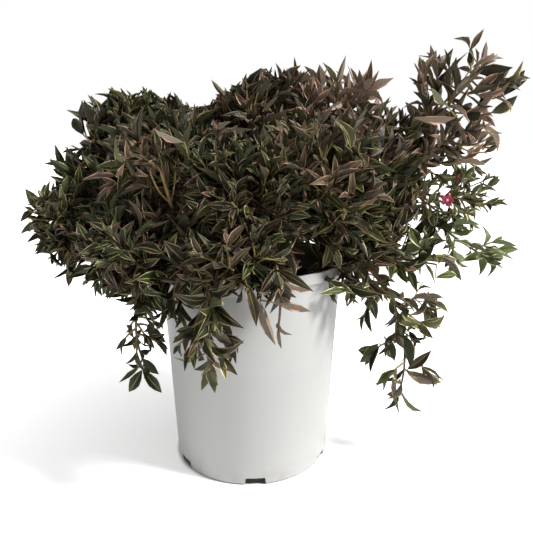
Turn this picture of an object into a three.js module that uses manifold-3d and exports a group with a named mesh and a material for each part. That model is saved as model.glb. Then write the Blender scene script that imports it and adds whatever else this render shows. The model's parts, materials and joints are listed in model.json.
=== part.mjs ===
// A weigela in its nursery pot: a low, spreading shrub of dark, pale-edged leaves on arching boughs
// that rise from one short woody foot. One long arm leans out to the right, and sprays hang over the rim.
// Millimetres. +Z is up, +X is the plant's right, -Y is its front, and the origin is the middle of the
// pot's flat underside.
import * as THREE from 'three';
import { mergeVertices } from 'three/addons/utils/BufferGeometryUtils.js';
import Module from 'manifold-3d';

const wasm = await Module();
wasm.setup();

// ---- Driving dimensions ----

const CLEARANCE = 0.3; // between pieces that touch on the real plant

const pot = {
  height: 246,
  rimRadius: 111, // outside of the rim band
  shoulderRadius: 107.6, // outside of the wall, just under the rim band
  baseRadius: 94.2,
  wall: 2,
  floor: 3,
  bandHeight: 12,
  lip: 3.4, // thickness of the rim band
  round: 2.5, // rounding where the wall meets the floor
  notches: 6,
  notchWidth: 25,
  notchTopWidth: 22,
  notchHeight: 9,
  notchDepth: 12,
  notchTurn: 2, // degrees that the front notch stands right of the middle
  facets: 36,
};

const soil = { belowRim: 26, edgeDrop: 6, flatRadius: 30 };
soil.level = pot.height - soil.belowRim;

// The short woody foot that the boughs spread from, with root lobes in its flare.
const foot = {
  height: 62,
  baseRadius: 21,
  neckRadius: 13,
  topRadius: 11,
  lean: [4, -3],
  flareFall: 5.5, // how quickly the flare falls away, over the foot's height
  lobes: 5,
  lobeDepth: 0.16, // as a share of the radius
  lobeFall: 4,
  facets: 15,
  rings: 6,
};

const bough = {
  mainRadius: 4.8, // where it leaves the foot
  sideRadius: 3.8, // where it forks from another bough
  forkShare: 0.82, // and there never thicker than this share of its parent
  tipRadius: 2.6,
  entry: 0.86, // where it ends, as a share of the way from the middle of its mass to the edge
  leastRise: 0.35, // of a bough that leaves the foot
  arch: 0.36, // how far it holds its first and last direction, as a share of its span
  hangingArch: 0.45,
  facets: 5,
  rings: 3,
};

// The growth rule: a stem runs through each mass, shoots leave it for points spread evenly over the
// outside of the mass, and each shoot carries crossed pairs of leaves, the last pair at its tip.
const growth = {
  stemTipRadius: 1.6,
  stemReach: 0.5, // how far a stem runs on past the middle, as a share of its way there
  stemRoom: 3.5, // kept between a stem's axis and the skin of any other limb
  stemTries: 60, // places that are tried for its tip
  stemAside: 0.02, // how much further out each try goes, as a share of the mass's half sizes
  shootRadius: 1.2,
  shootTipRadius: 0.9,
  shortestShoot: 14,
  usualHalf: 72, // a mass of a smaller mean half size has smaller leaves
  tries: 31, // directions that a mass tries for its shoots
  apart: 36, // between the tips of two shoots
  tipReach: [0.45, 0.62], // a shoot's tip, as a share of the way from the mass's middle to its edge
  leastReach: 0.2, // a tip that isn't free is drawn in by drawIn at a time, down to this
  drawIn: 0.07,
  tipRoom: 5, // kept round a shoot's tip
  shootRoom: 2, // and round the rest of it
  sweep: 0.6, // how far down the stem a shoot starts, as a share of its tip's distance from the stem
  inside: -0.2, // shoots that turn further back than this, towards the crown's core, don't grow
  bend: 0.2, // how far a shoot turns towards the light, or hangs, as a share of its length
  shootPairs: [0.94, 0.55], // places along a shoot where its pairs of leaves stand
  stemPairs: [0.94, 0.68, 0.42],
  tipAngle: 38, // degrees between a leaf of the last pair and its twig
  sideAngle: 62, // and of the pairs before it
  angleSpread: [0.85, 1.15],
  leafLift: 0.15, // how far a leaf leans to the light
  leafLength: 64,
  leafWidth: 0.46, // as a share of the length, as is the thickness
  leafThickness: 0.024,
  leafArch: 0.07,
  leafWidest: 0.46, // where along the leaf
  leafRoot: 0.3, // how deep a leaf starts behind its twig's axis
  leafSpread: [0.86, 1.14], // smallest and largest leaf
  smaller: [1, 0.84, 0.7, 0.58], // a leaf that doesn't fit turns or is smaller, or is left out
  turns: [0, -18, 18], // degrees
  limbRoom: 2.5, // kept between a leaf and a limb
  testedFrom: 5, // how far out from its root a leaf is tested against its neighbours
};
const core = new THREE.Vector3(-15, 15, 290); // where the crown's boughs spread from

const flower = {
  tubeLength: 15,
  tubeRadius: 2.1,
  mouthRadius: 4.6,
  petals: 5,
  petalLength: 12,
  petalWidth: 0.62, // as a share of the length
  petalRoot: 1.6, // how far from the axis a petal starts
  petalOpen: 0.45, // how far the petals lean forward
};
const bud = { length: 20, radius: 3.2, stalkRadius: 0.8 };
const pedicelSize = { radius: 1.2, tipRadius: 1, leaves: 0.55, into: 2 };

// ---- The crown's plan ----
// Each mass keeps to an ellipsoid: its middle and its half sizes across, deep and high. Then come the
// limb that its bough leaves, the foot or the bough of another mass, and at what share of that limb's
// length, and how far light pulls its shoots up (1) or they hang (-1).

const masses = [
  // From the foot's lower half.
  ['left_skirt', [-108, -80, 270], [84, 80, 62], 'foot', 0.4, 0.2],
  ['right_skirt', [120, -20, 286], [76, 82, 66], 'foot', 0.45, 0.2],
  ['back_left_skirt', [-115, 105, 300], [90, 85, 72], 'foot', 0.42, 0.4],
  ['back_right_skirt', [110, 100, 300], [90, 85, 72], 'foot', 0.36, 0.4],
  // From the foot's top.
  ['left_tip', [-190, -10, 292], [76, 76, 72], 'foot', 0.78, 0.3],
  ['top_middle', [6, 22, 392], [74, 80, 77], 'foot', 0.94, 1],
  ['front_heart', [-5, -85, 324], [76, 86, 76], 'foot', 0.84, 0.6],
  ['arm_base', [164, 2, 360], [66, 64, 74], 'foot', 0.72, 0.6],
  ['arm_middle', [232, 8, 380], [66, 54, 52], 'arm_base', 0.6, 0.7],
  ['back_middle', [0, 120, 335], [85, 82, 85], 'foot', 0.82, 0.6],
  // From other boughs.
  ['left_crown', [-135, 35, 370], [86, 82, 82], 'left_tip', 0.34, 1],
  ['left_heart', [-76, -62, 350], [78, 78, 74], 'left_skirt', 0.4, 0.6],
  ['front_skirt', [-15, -118, 268], [62, 56, 50], 'front_heart', 0.4, 0],
  ['right_heart', [78, -62, 340], [78, 80, 76], 'right_skirt', 0.45, 0.6],
  ['top_right', [86, 30, 392], [78, 80, 76], 'top_middle', 0.3, 1],
  ['back_left_top', [-65, 100, 375], [82, 76, 75], 'back_middle', 0.35, 1],
  ['back_right_top', [72, 95, 384], [84, 76, 76], 'back_middle', 0.5, 1],
  ['arm_top', [246, 0, 446], [74, 60, 62], 'arm_middle', 0.55, 1],
  ['arm_low', [236, -4, 316], [66, 54, 46], 'arm_middle', 0.5, 0.3],
  ['right_wing', [266, -12, 256], [54, 44, 40], 'arm_low', 0.62, 0],
  ['right_spray', [188, -42, 248], [52, 52, 46], 'right_skirt', 0.8, 0.1],
  // Sprays that hang over the rim.
  ['right_fall', [180, -32, 188], [60, 46, 44], 'right_spray', 0.5, -0.4],
  ['right_trailer', [180, -30, 106], [54, 40, 60], 'right_spray', 0.72, -1],
  ['left_trailer', [-114, -100, 178], [30, 30, 58], 'left_heart', 0.62, -1],
  ['front_trailer', [-42, -147, 190], [36, 32, 48], 'left_skirt', 0.55, -1],
  ['middle_trailer', [26, -140, 222], [40, 32, 38], 'front_skirt', 0.55, -0.8],
].map(([name, middle, half, from, at, light], index) => ({
  name,
  middle: new THREE.Vector3(...middle),
  half: new THREE.Vector3(...half),
  scale: Math.min(1, Math.cbrt(half[0] * half[1] * half[2]) / growth.usualHalf),
  from,
  at,
  light,
  seed: 101 + index * 37,
}));
const byName = new Map(masses.map((mass) => [mass.name, mass]));

const flowerPlace = { mass: 'arm_low', at: [221, -34, 317], facing: [-0.25, -1, 0.15] };
const budPlace = { mass: 'arm_low', at: [233, -28, 341], facing: [0.1, -0.3, 1] };

// ---- Small helpers ----

const UP = new THREE.Vector3(0, 0, 1);
const GOLDEN_ANGLE = Math.PI * (3 - Math.sqrt(5));
const radians = THREE.MathUtils.degToRad;
const mix = (range, share) => range[0] + (range[1] - range[0]) * share;

// Numbers from 0 to 1, the same on every run.
function dice(seed) {
  let state = seed;
  return () => {
    state = (state * 48271) % 2147483647;
    return state / 2147483647;
  };
}

function solidOf(geometry) {
  const bare = geometry.clone();
  bare.deleteAttribute('normal');
  bare.deleteAttribute('uv');
  const merged = mergeVertices(bare, 1e-4);
  return new wasm.Manifold(new wasm.Mesh({
    numProp: 3,
    vertProperties: merged.attributes.position.array,
    triVerts: merged.index.array,
  }));
}

function geometryOf(solid) {
  const { vertProperties, triVerts } = solid.getMesh();
  return new THREE.BufferGeometry()
    .setAttribute('position', new THREE.BufferAttribute(vertProperties, 3))
    .setIndex(new THREE.BufferAttribute(triVerts, 1));
}

// A tapering limb along a curve: a cylinder whose rings are carried onto the curve.
function limb({ curve, rings }, radiusAt, facets) {
  const geometry = new THREE.CylinderGeometry(1, 1, 1, facets, rings);
  const frames = curve.computeFrenetFrames(rings);
  const place = geometry.attributes.position;
  for (let i = 0; i < place.count; i++) {
    const along = place.getY(i) + 0.5;
    const ring = Math.round(along * rings);
    const radius = radiusAt(along);
    const point = curve.getPointAt(along)
      .addScaledVector(frames.normals[ring], place.getX(i) * radius)
      .addScaledVector(frames.binormals[ring], -place.getZ(i) * radius);
    place.setXYZ(i, point.x, point.y, point.z);
  }
  return geometry;
}

// A place on a limb as it is built, with straight stretches between its rings.
function onLimb({ curve, rings }, along) {
  const step = Math.min(Math.floor(along * rings), rings - 1);
  const from = curve.getPointAt(step / rings);
  const to = curve.getPointAt((step + 1) / rings);
  return { point: from.clone().lerp(to, along * rings - step), tangent: to.sub(from).normalize() };
}

const taper = (root, tip) => (along) => root + (tip - root) * along;

// ---- The pot and its soil ----

function turned(profile, facets) {
  const outline = profile.map(([r, z]) => new THREE.Vector2(r, z));
  return new THREE.LatheGeometry(outline, facets).rotateX(Math.PI / 2);
}

// The inside radius of the wall at a height.
function insideRadius(z) {
  const share = z / (pot.height - pot.bandHeight);
  return pot.baseRadius + (pot.shoulderRadius - pot.baseRadius) * share - pot.wall;
}

function makePot() {
  const { height, rimRadius, shoulderRadius, baseRadius, floor, bandHeight, lip, round } = pot;
  const bandFoot = height - bandHeight;
  const bowl = solidOf(turned([
    [0, 0],
    [baseRadius - round, 0],
    [baseRadius, round],
    [shoulderRadius, bandFoot],
    [rimRadius, bandFoot + 1],
    [rimRadius, height],
    [rimRadius - lip, height],
    [insideRadius(bandFoot), bandFoot - 3],
    [insideRadius(floor), floor],
    [0, floor],
  ], pot.facets));
  // The drainage notches: a tapered opening through the foot of the wall and the floor's edge.
  const outline = new THREE.Shape([
    new THREE.Vector2(-pot.notchWidth / 2, -1),
    new THREE.Vector2(pot.notchWidth / 2, -1),
    new THREE.Vector2(pot.notchTopWidth / 2, pot.notchHeight),
    new THREE.Vector2(-pot.notchTopWidth / 2, pot.notchHeight),
  ]);
  const notches = Array.from({ length: pot.notches }, (_, i) => solidOf(
    new THREE.ExtrudeGeometry(outline, { depth: pot.notchDepth + 4, bevelEnabled: false })
      .rotateX(Math.PI / 2)
      .translate(0, -(baseRadius - pot.notchDepth), 0)
      .rotateZ(radians(pot.notchTurn) + (i * 2 * Math.PI) / pot.notches),
  ));
  return geometryOf(bowl.subtract(wasm.Manifold.union(notches)));
}

function makeSoil() {
  const edge = soil.level - soil.edgeDrop;
  const bottom = pot.floor + CLEARANCE;
  return turned([
    [0, bottom],
    [insideRadius(bottom) - CLEARANCE, bottom],
    [insideRadius(edge) - CLEARANCE, edge],
    [soil.flatRadius, soil.level],
    [0, soil.level],
  ], pot.facets);
}

// ---- The foot and the boughs ----

// It leaves the soil upright, so its cut is level, and leans a little to the front and right.
const footBase = new THREE.Vector3(0, 0, soil.level + CLEARANCE);
const footCurve = new THREE.QuadraticBezierCurve3(
  footBase,
  footBase.clone().add(new THREE.Vector3(0, 0, foot.height / 2)),
  footBase.clone().add(new THREE.Vector3(...foot.lean, foot.height)),
);

function footRadius(along) {
  const flare = Math.exp(-along * foot.flareFall);
  return taper(foot.neckRadius, foot.topRadius)(along) + (foot.baseRadius - foot.neckRadius) * flare;
}

function makeFoot(extra = 0) {
  const line = { curve: footCurve, rings: foot.rings };
  const geometry = limb(line, (along) => footRadius(along) + extra, foot.facets);
  // Root lobes stand out of the flare.
  const place = geometry.attributes.position;
  for (let i = 0; i < place.count; i++) {
    const height = (place.getZ(i) - footBase.z) / foot.height;
    const bearing = Math.atan2(place.getY(i), place.getX(i));
    const lobe = 1 + foot.lobeDepth * Math.exp(-height * foot.lobeFall) * Math.cos(foot.lobes * bearing);
    place.setX(i, place.getX(i) * lobe);
    place.setY(i, place.getY(i) * lobe);
  }
  return geometry;
}

const footPlan = {
  curve: footCurve,
  rings: foot.rings,
  isFoot: true,
  swollen: solidOf(makeFoot(CLEARANCE)),
};

// How far a mass reaches from its middle towards a unit vector.
function reachOf(mass, towards) {
  const { half } = mass;
  return 1 / Math.hypot(towards.x / half.x, towards.y / half.y, towards.z / half.z);
}

// A bough leaves its parent, arches, and ends where it enters its mass.
function planBough(mass, parent) {
  const { point: start, tangent } = onLimb(parent, mass.at);
  const hangs = mass.light < -0.5;
  const back = hangs ? new THREE.Vector3(0, 0, 1) : start.clone().sub(mass.middle).normalize();
  const end = mass.middle.clone().addScaledVector(back, reachOf(mass, back) * bough.entry);
  const span = end.distanceTo(start);
  const towards = end.clone().sub(start).normalize();
  const leave = parent.isFoot
    ? new THREE.Vector3(towards.x, towards.y, Math.max(towards.z, bough.leastRise)).normalize()
    : tangent.multiplyScalar(0.5).add(towards).normalize();
  const enter = hangs
    ? new THREE.Vector3(towards.x * 0.5, towards.y * 0.5, -1).normalize()
    : towards.clone().addScaledVector(UP, 0.25 * mass.light).normalize();
  const arch = hangs ? bough.hangingArch : bough.arch;
  const curve = new THREE.CubicBezierCurve3(
    start,
    start.clone().addScaledVector(leave, span * arch),
    end.clone().addScaledVector(enter, -span * arch),
    end,
  );
  const rootRadius = parent.isFoot
    ? bough.mainRadius
    : Math.min(bough.sideRadius, parent.radiusAt(mass.at) * bough.forkShare);
  const radiusAt = taper(rootRadius, bough.tipRadius);
  return { curve, rings: bough.rings, radiusAt, end, enter, spans: spansOf(curve, bough.rings, radiusAt) };
}

// The straight stretches of a limb, each with its widest radius.
function spansOf(curve, rings, radiusAt) {
  const rows = Array.from({ length: rings + 1 }, (_, i) => curve.getPointAt(i / rings));
  return rows.slice(1).map((end, i) => ({
    line: new THREE.Line3(rows[i], end),
    radius: radiusAt(i / rings),
  }));
}

function makeBough(plan, parent) {
  const solid = (extra) => solidOf(limb(plan, (along) => plan.radiusAt(along) + extra, bough.facets));
  plan.swollen = solid(CLEARANCE);
  return geometryOf(solid(0).subtract(parent.swollen).subtract(footPlan.swollen));
}

// ---- The space of each mass ----

// Neighbours share a plane halfway through their overlap, and each keeps to its own side of it.
for (const mass of masses) {
  mass.walls = masses.filter((other) => other !== mass).map((other) => {
    const towards = other.middle.clone().sub(mass.middle);
    const apart = towards.length();
    towards.divideScalar(apart);
    const away = towards.clone().negate();
    const share = (apart + reachOf(mass, towards) - reachOf(other, away)) / 2;
    return { towards, limit: towards.dot(mass.middle) + share - CLEARANCE };
  });
}

function inPotOrSoil(point, room) {
  const out = Math.hypot(point.x, point.y);
  if (point.z > pot.height + room) return false;
  if (out > pot.rimRadius + room) return false;
  return !(out < pot.shoulderRadius - pot.wall - room && point.z > soil.level + room);
}

function inSpace(mass, point) {
  const off = point.clone().sub(mass.middle).divide(mass.half);
  return off.lengthSq() < 1 && mass.walls.every(({ towards, limit }) => towards.dot(point) < limit);
}

function nearLimb(point, room, limbs = masses) {
  return limbs.some(({ plan }) => plan.spans.some((span) => (
    span.line.closestPointToPoint(point, true, new THREE.Vector3()).distanceTo(point) < span.radius + room
  )));
}

const isFree = (mass, point, room) => (
  inSpace(mass, point) && !inPotOrSoil(point, room) && !nearLimb(point, room)
);

// ---- Twigs, leaves and the flower ----

// A blade of six faces, from its root at 0 to its tip at 1 along X: two edges, and a rib on top.
function makeBlade({ widest, arch, thickness }) {
  const ends = [0, 0, 0, 1, 0, 0];
  const edges = [widest, -0.5, arch, widest, 0.5, arch];
  const corners = [...ends, ...edges, widest, 0, arch + thickness];
  return new THREE.BufferGeometry()
    .setAttribute('position', new THREE.Float32BufferAttribute(corners, 3))
    .setIndex([0, 2, 4, 0, 4, 3, 1, 4, 2, 1, 3, 4, 0, 3, 2, 1, 2, 3]);
}

const leafBlade = makeBlade({
  widest: growth.leafWidest, arch: growth.leafArch, thickness: growth.leafThickness,
});
const petalBlade = makeBlade({ widest: 0.66, arch: 0.05, thickness: 0.06 });

function placed(blade, { root, along, face, length, width = growth.leafWidth }) {
  const across = face.clone().cross(along).normalize();
  const normal = along.clone().cross(across);
  const frame = new THREE.Matrix4().makeBasis(
    along.clone().multiplyScalar(length),
    across.multiplyScalar(length * width),
    normal.multiplyScalar(length),
  );
  return blade.clone().applyMatrix4(frame.setPosition(root));
}

// Points spread over a leaf, close enough together that no limb slips between them.
function* leafPoints({ root, along, face, length }) {
  const across = face.clone().cross(along).normalize();
  for (let row = 1; row <= 8; row++) {
    for (const side of [-0.5, 0, 0.5]) {
      yield root.clone()
        .addScaledVector(along, (length * row) / 8)
        .addScaledVector(across, side * length * growth.leafWidth * (row < 8 ? 1 : 0))
        .addScaledVector(face, growth.leafArch * length * (row > 2 && row < 6 ? 1 : 0));
    }
  }
}

// The stem runs on from the bough's tip and past the middle of its mass. Where another limb is in its
// way, its tip is moved aside: first to neighbouring places, then to places further out.
function planStem(mass) {
  const { end, enter } = mass.plan;
  const others = masses.filter((other) => other !== mass);
  const start = end.clone().addScaledVector(enter, CLEARANCE);
  for (let i = 0; ; i++) {
    const tip = mass.middle.clone().lerp(end, -growth.stemReach);
    const aside = new THREE.Vector3(Math.cos(i * GOLDEN_ANGLE), Math.sin(i * GOLDEN_ANGLE), Math.sin(i));
    tip.addScaledVector(aside.multiply(mass.half), i * growth.stemAside);
    while (!inSpace(mass, tip)) tip.lerp(mass.middle, 0.2);
    const bendPoint = start.clone().addScaledVector(enter, start.distanceTo(tip) / 2);
    const stem = { curve: new THREE.QuadraticBezierCurve3(start, bendPoint, tip), rings: 3 };
    const steps = Array.from({ length: 13 }, (_, step) => onLimb(stem, step / 12).point);
    const isClear = steps.every((point) => !nearLimb(point, growth.stemRoom, others));
    if (isClear || i === growth.stemTries) return stem;
  }
}

// A shoot from the stem towards one side of the mass, or nothing where it would not be free.
function planShoot(mass, outward, share) {
  const { stem, middle, light } = mass;
  const tip = new THREE.Vector3();
  do {
    tip.copy(middle).addScaledVector(outward, share);
    share -= growth.drawIn;
  } while (share > growth.leastReach && !isFree(mass, tip, growth.tipRoom));
  const chord = new THREE.Line3(stem.curve.v0, stem.curve.v2);
  const beside = chord.closestPointToPoint(tip, true, new THREE.Vector3());
  const nearest = chord.closestPointToPointParameter(tip, true);
  const behind = (growth.sweep * beside.distanceTo(tip)) / chord.distance();
  const root = onLimb(stem, THREE.MathUtils.clamp(nearest - behind, 0.06, 0.95)).point;
  const length = root.distanceTo(tip);
  if (length < growth.shortestShoot) return null;
  const bendPoint = root.clone().lerp(tip, 0.5).addScaledVector(UP, -growth.bend * light * length);
  const shoot = { curve: new THREE.QuadraticBezierCurve3(root, bendPoint, tip), rings: 1 };
  const steps = [1, 2, 3, 4, 5, 6].map((step) => onLimb(shoot, step / 6).point);
  return steps.every((point) => isFree(mass, point, growth.shootRoom)) ? shoot : null;
}

// Shoots whose tips lie evenly over the outside of the mass. Every seventh place of a spiral is tried
// in turn, so that the first few tips already lie all round.
function planShoots(mass, roll) {
  const { tries, apart } = growth;
  const out = mass.middle.clone().sub(core).normalize();
  const shoots = [];
  for (let i = 0; i < tries; i++) {
    const height = 1 - (2 * (((i * 7) % tries) + 0.5)) / tries;
    const bearing = i * 7 * GOLDEN_ANGLE + mass.seed;
    const ring = Math.sqrt(1 - height * height);
    const towards = new THREE.Vector3(ring * Math.cos(bearing), ring * Math.sin(bearing), height);
    const share = mix(growth.tipReach, roll());
    if (towards.dot(out) < growth.inside) continue;
    const shoot = planShoot(mass, towards.multiply(mass.half), share);
    if (shoot && shoots.every((other) => other.curve.v2.distanceTo(shoot.curve.v2) > apart)) {
      shoots.push(shoot);
    }
  }
  return shoots;
}

// Pairs of leaves down a shoot, each pair turned a quarter from the last. A leaf that would cross
// another one of its mass is tried smaller too.
function growLeaves(mass, twig, pairs, roll) {
  const spin = roll() * Math.PI;
  for (const [k, place] of pairs.entries()) {
    const { point: node, tangent } = onLimb(twig, place);
    const level = tangent.clone().cross(UP).normalize();
    const side = level.applyAxisAngle(tangent, spin + (k * Math.PI) / 2);
    for (const hand of [-1, 1]) {
      const full = growth.leafLength * mass.scale * mix(growth.leafSpread, roll());
      const angle = (k === 0 ? growth.tipAngle : growth.sideAngle) * mix(growth.angleSpread, roll());
      const outward = side.clone().multiplyScalar(hand);
      const leaf = growth.smaller.flatMap((share) => growth.turns.map((turn) => (
        aimLeaf(mass, { node, tangent, side: outward }, radians(angle + turn), full * share)
      ))).find((choice) => fits(mass, choice));
      if (leaf) mass.leaves.push(leaf);
    }
  }
}

function aimLeaf(mass, { node, tangent, side }, angle, length) {
  const along = tangent.clone().multiplyScalar(Math.cos(angle))
    .addScaledVector(side, Math.sin(angle))
    .addScaledVector(UP, growth.leafLift * mass.light)
    .normalize();
  const face = tangent.clone().multiplyScalar(Math.sin(angle))
    .addScaledVector(side, -Math.cos(angle))
    .addScaledVector(UP, 0.3);
  face.addScaledVector(along, -face.dot(along)).normalize();
  return { root: node.clone().addScaledVector(along, -growth.leafRoot), along, face, length };
}

// A leaf fits where it stays in its space, clear of the limbs, and crosses no leaf or twig of its mass.
// It is tested from a little way out, because at its root it is fused to its twig.
function fits(mass, leaf) {
  const points = [...leafPoints(leaf)];
  if (!points.every((point) => isFree(mass, point, growth.limbRoom))) return false;
  const root = leaf.root.clone().addScaledVector(leaf.along, growth.testedFrom);
  const feeler = solidOf(placed(leafBlade, { ...leaf, root, length: leaf.length - growth.testedFrom }));
  if (!mass.feelers.every((other) => feeler.intersect(other).isEmpty())) return false;
  mass.feelers.push(feeler);
  return true;
}

// A pedicel from the stem, and on it a funnel with five petals.
function flowerSolids(stem, { at, facing }) {
  const mouth = new THREE.Vector3(...at);
  const axis = new THREE.Vector3(...facing).normalize();
  const throat = mouth.clone().addScaledVector(axis, -flower.tubeLength);
  const tube = { curve: new THREE.LineCurve3(throat, mouth), rings: 1 };
  const petals = Array.from({ length: flower.petals }, (_, i) => {
    const bearing = (i * 2 * Math.PI) / flower.petals;
    const across = axis.clone().cross(UP).normalize().applyAxisAngle(axis, bearing);
    const along = across.clone().addScaledVector(axis, flower.petalOpen).normalize();
    const face = axis.clone().addScaledVector(along, -axis.dot(along)).normalize();
    const root = mouth.clone().addScaledVector(across, flower.petalRoot).addScaledVector(axis, -1);
    const petal = { root, along, face, length: flower.petalLength, width: flower.petalWidth };
    return solidOf(placed(petalBlade, petal));
  });
  return [
    pedicel(stem, throat, axis),
    solidOf(limb(tube, taper(flower.tubeRadius, flower.mouthRadius), 5)),
    ...petals,
  ];
}

function budSolids(stem, { at, facing }) {
  const tip = new THREE.Vector3(...at);
  const axis = new THREE.Vector3(...facing).normalize();
  const base = tip.clone().addScaledVector(axis, -bud.length);
  const swell = (along) => mix([bud.stalkRadius, bud.radius], Math.sin(Math.PI * mix([0.1, 1], along)));
  const body = { curve: new THREE.LineCurve3(base, tip), rings: 3 };
  return [pedicel(stem, base, axis), solidOf(limb(body, swell, 5))];
}

function pedicel(stem, end, axis) {
  const root = onLimb(stem, pedicelSize.leaves).point;
  const into = end.clone().addScaledVector(axis, pedicelSize.into);
  const bendPoint = end.clone().addScaledVector(axis, -root.distanceTo(end) * 0.4);
  const stalk = { curve: new THREE.QuadraticBezierCurve3(root, bendPoint, into), rings: 3 };
  return solidOf(limb(stalk, taper(pedicelSize.radius, pedicelSize.tipRadius), 3));
}

function makeMass(mass) {
  const roll = dice(mass.seed);
  mass.stem = planStem(mass);
  mass.leaves = [];
  const pieces = [solidOf(limb(mass.stem, taper(bough.tipRadius, growth.stemTipRadius), 4))];
  const shoots = planShoots(mass, roll);
  for (const shoot of shoots) {
    pieces.push(solidOf(limb(shoot, taper(growth.shootRadius, growth.shootTipRadius), 3)));
  }
  mass.feelers = [...pieces];
  for (const shoot of shoots) growLeaves(mass, shoot, growth.shootPairs, roll);
  growLeaves(mass, mass.stem, growth.stemPairs, roll);
  for (const leaf of mass.leaves) pieces.push(solidOf(placed(leafBlade, leaf)));
  if (mass.name === flowerPlace.mass) pieces.push(...flowerSolids(mass.stem, flowerPlace));
  if (mass.name === budPlace.mass) pieces.push(...budSolids(mass.stem, budPlace));
  // Fused to one body. A scrap that meets no twig is dropped.
  const bodies = wasm.Manifold.union(pieces).decompose();
  bodies.sort((a, b) => b.volume() - a.volume());
  return geometryOf(bodies[0]);
}

// ---- Assembly ----

const finish = (color, roughness) => new THREE.MeshStandardMaterial({ color, roughness, metalness: 0 });
const finishes = {
  plastic: finish(0xe9e8e4, 0.42),
  soil: finish(0x1d1713, 0.95),
  bark: finish(0x6b5236, 0.8),
  foliage: finish(0x3a332c, 0.6),
};

const plant = new THREE.Group();
plant.name = 'potted_weigela';

function add(name, geometry, material) {
  const mesh = new THREE.Mesh(geometry, material);
  mesh.name = name;
  plant.add(mesh);
}

add('pot', makePot(), finishes.plastic);
add('soil', makeSoil(), finishes.soil);
add('foot', makeFoot(), finishes.bark);

for (const mass of masses) {
  const parent = mass.from === 'foot' ? footPlan : byName.get(mass.from).plan;
  mass.plan = planBough(mass, parent);
  add(`bough_${mass.name}`, makeBough(mass.plan, parent), finishes.bark);
}
for (const mass of masses) add(`foliage_${mass.name}`, makeMass(mass), finishes.foliage);

export default plant;
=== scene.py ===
# %% [markdown]
# # A dwarf weigela in its nursery pot
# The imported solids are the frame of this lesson: a pot with its potting mix, a short woody foot, the
# boughs that spread from it, and one solid for each mass of foliage. They have the right size and
# place, but few and thick leaves. Here each of them gets its real surface: a moulded pot, crumbly mix,
# bark, and thousands of leaves with pale edges. Everything is in metres, +Z is up and -Y is the front.

# %% Load the frame
import json
import math

import bmesh
import bpy
import numpy as np
from mathutils import Matrix, Vector, noise

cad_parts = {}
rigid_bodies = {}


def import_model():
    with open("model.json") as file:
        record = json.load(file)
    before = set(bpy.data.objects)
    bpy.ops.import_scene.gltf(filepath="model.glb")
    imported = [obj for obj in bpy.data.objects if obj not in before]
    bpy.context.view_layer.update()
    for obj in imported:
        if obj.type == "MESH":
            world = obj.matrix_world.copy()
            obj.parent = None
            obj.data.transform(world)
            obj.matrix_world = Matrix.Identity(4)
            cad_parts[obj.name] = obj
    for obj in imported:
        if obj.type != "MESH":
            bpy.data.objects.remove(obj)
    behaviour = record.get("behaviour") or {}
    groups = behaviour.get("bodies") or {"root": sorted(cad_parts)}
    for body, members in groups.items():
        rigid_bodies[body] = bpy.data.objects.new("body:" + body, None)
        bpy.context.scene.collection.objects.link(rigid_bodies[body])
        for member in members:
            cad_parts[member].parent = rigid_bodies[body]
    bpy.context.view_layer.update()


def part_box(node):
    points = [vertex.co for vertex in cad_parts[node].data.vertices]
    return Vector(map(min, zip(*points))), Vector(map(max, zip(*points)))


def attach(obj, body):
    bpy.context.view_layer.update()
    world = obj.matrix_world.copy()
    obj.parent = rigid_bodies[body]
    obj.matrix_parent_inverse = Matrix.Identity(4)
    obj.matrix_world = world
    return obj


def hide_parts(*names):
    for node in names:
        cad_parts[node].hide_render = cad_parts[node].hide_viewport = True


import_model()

# %% [markdown]
# ## The camera
# It stands a little above the crown and close to it, so the pot narrows strongly towards its foot.
# A close, high viewpoint is what makes a small potted plant look small.

# %% Camera
camera_place = Vector((0.0, -0.649, 0.382))
camera_tilt = math.radians(12.85)  # down
camera_turn = math.radians(1.63)  # to the right
camera_lens = 37.15

camera = bpy.data.objects.new("camera", bpy.data.cameras.new("camera"))
camera.location = camera_place
camera.rotation_euler = (math.pi / 2 - camera_tilt, 0, -camera_turn)
camera.data.lens = camera_lens
camera.data.sensor_width = 36
bpy.context.scene.collection.objects.link(camera)
bpy.context.scene.camera = camera

# %% [markdown]
# ## Floor and light
# A wide white floor under a white world, with one broad soft lamp high on the right in front of the
# plant. A sun lamp lights a floor evenly to its far edge, so no horizon shows behind the plant, and
# its angle of a few degrees softens the shadows of the leaves as a studio softbox would.

# %% Floor, lamp and world
floor_size = 60.0
key_direction = Vector((0.95, -0.35, 1.00))  # towards the lamp
key_angle = math.radians(12)
key_strength = 4.6
world_strength = 0.17

key = bpy.data.objects.new("key_light", bpy.data.lights.new("key_light", "SUN"))
key.data.energy = key_strength
key.data.angle = key_angle
key.rotation_euler = key_direction.to_track_quat("Z", "Y").to_euler()
bpy.context.scene.collection.objects.link(key)

world = bpy.data.worlds.new("studio")
world.use_nodes = True
world_tree = world.node_tree
seen = world_tree.nodes.new("ShaderNodeBackground")
seen.inputs["Color"].default_value = (1, 1, 1, 1)
lighting = world_tree.nodes["Background"]
lighting.inputs["Color"].default_value = (1, 1, 1, 1)
lighting.inputs["Strength"].default_value = world_strength
either = world_tree.nodes.new("ShaderNodeMixShader")
world_tree.links.new(world_tree.nodes.new("ShaderNodeLightPath").outputs["Is Camera Ray"], either.inputs[0])
world_tree.links.new(lighting.outputs[0], either.inputs[1])
world_tree.links.new(seen.outputs[0], either.inputs[2])
world_tree.links.new(either.outputs[0], world_tree.nodes["World Output"].inputs["Surface"])
bpy.context.scene.world = world
bpy.context.scene.view_settings.view_transform = "Standard"

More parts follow.
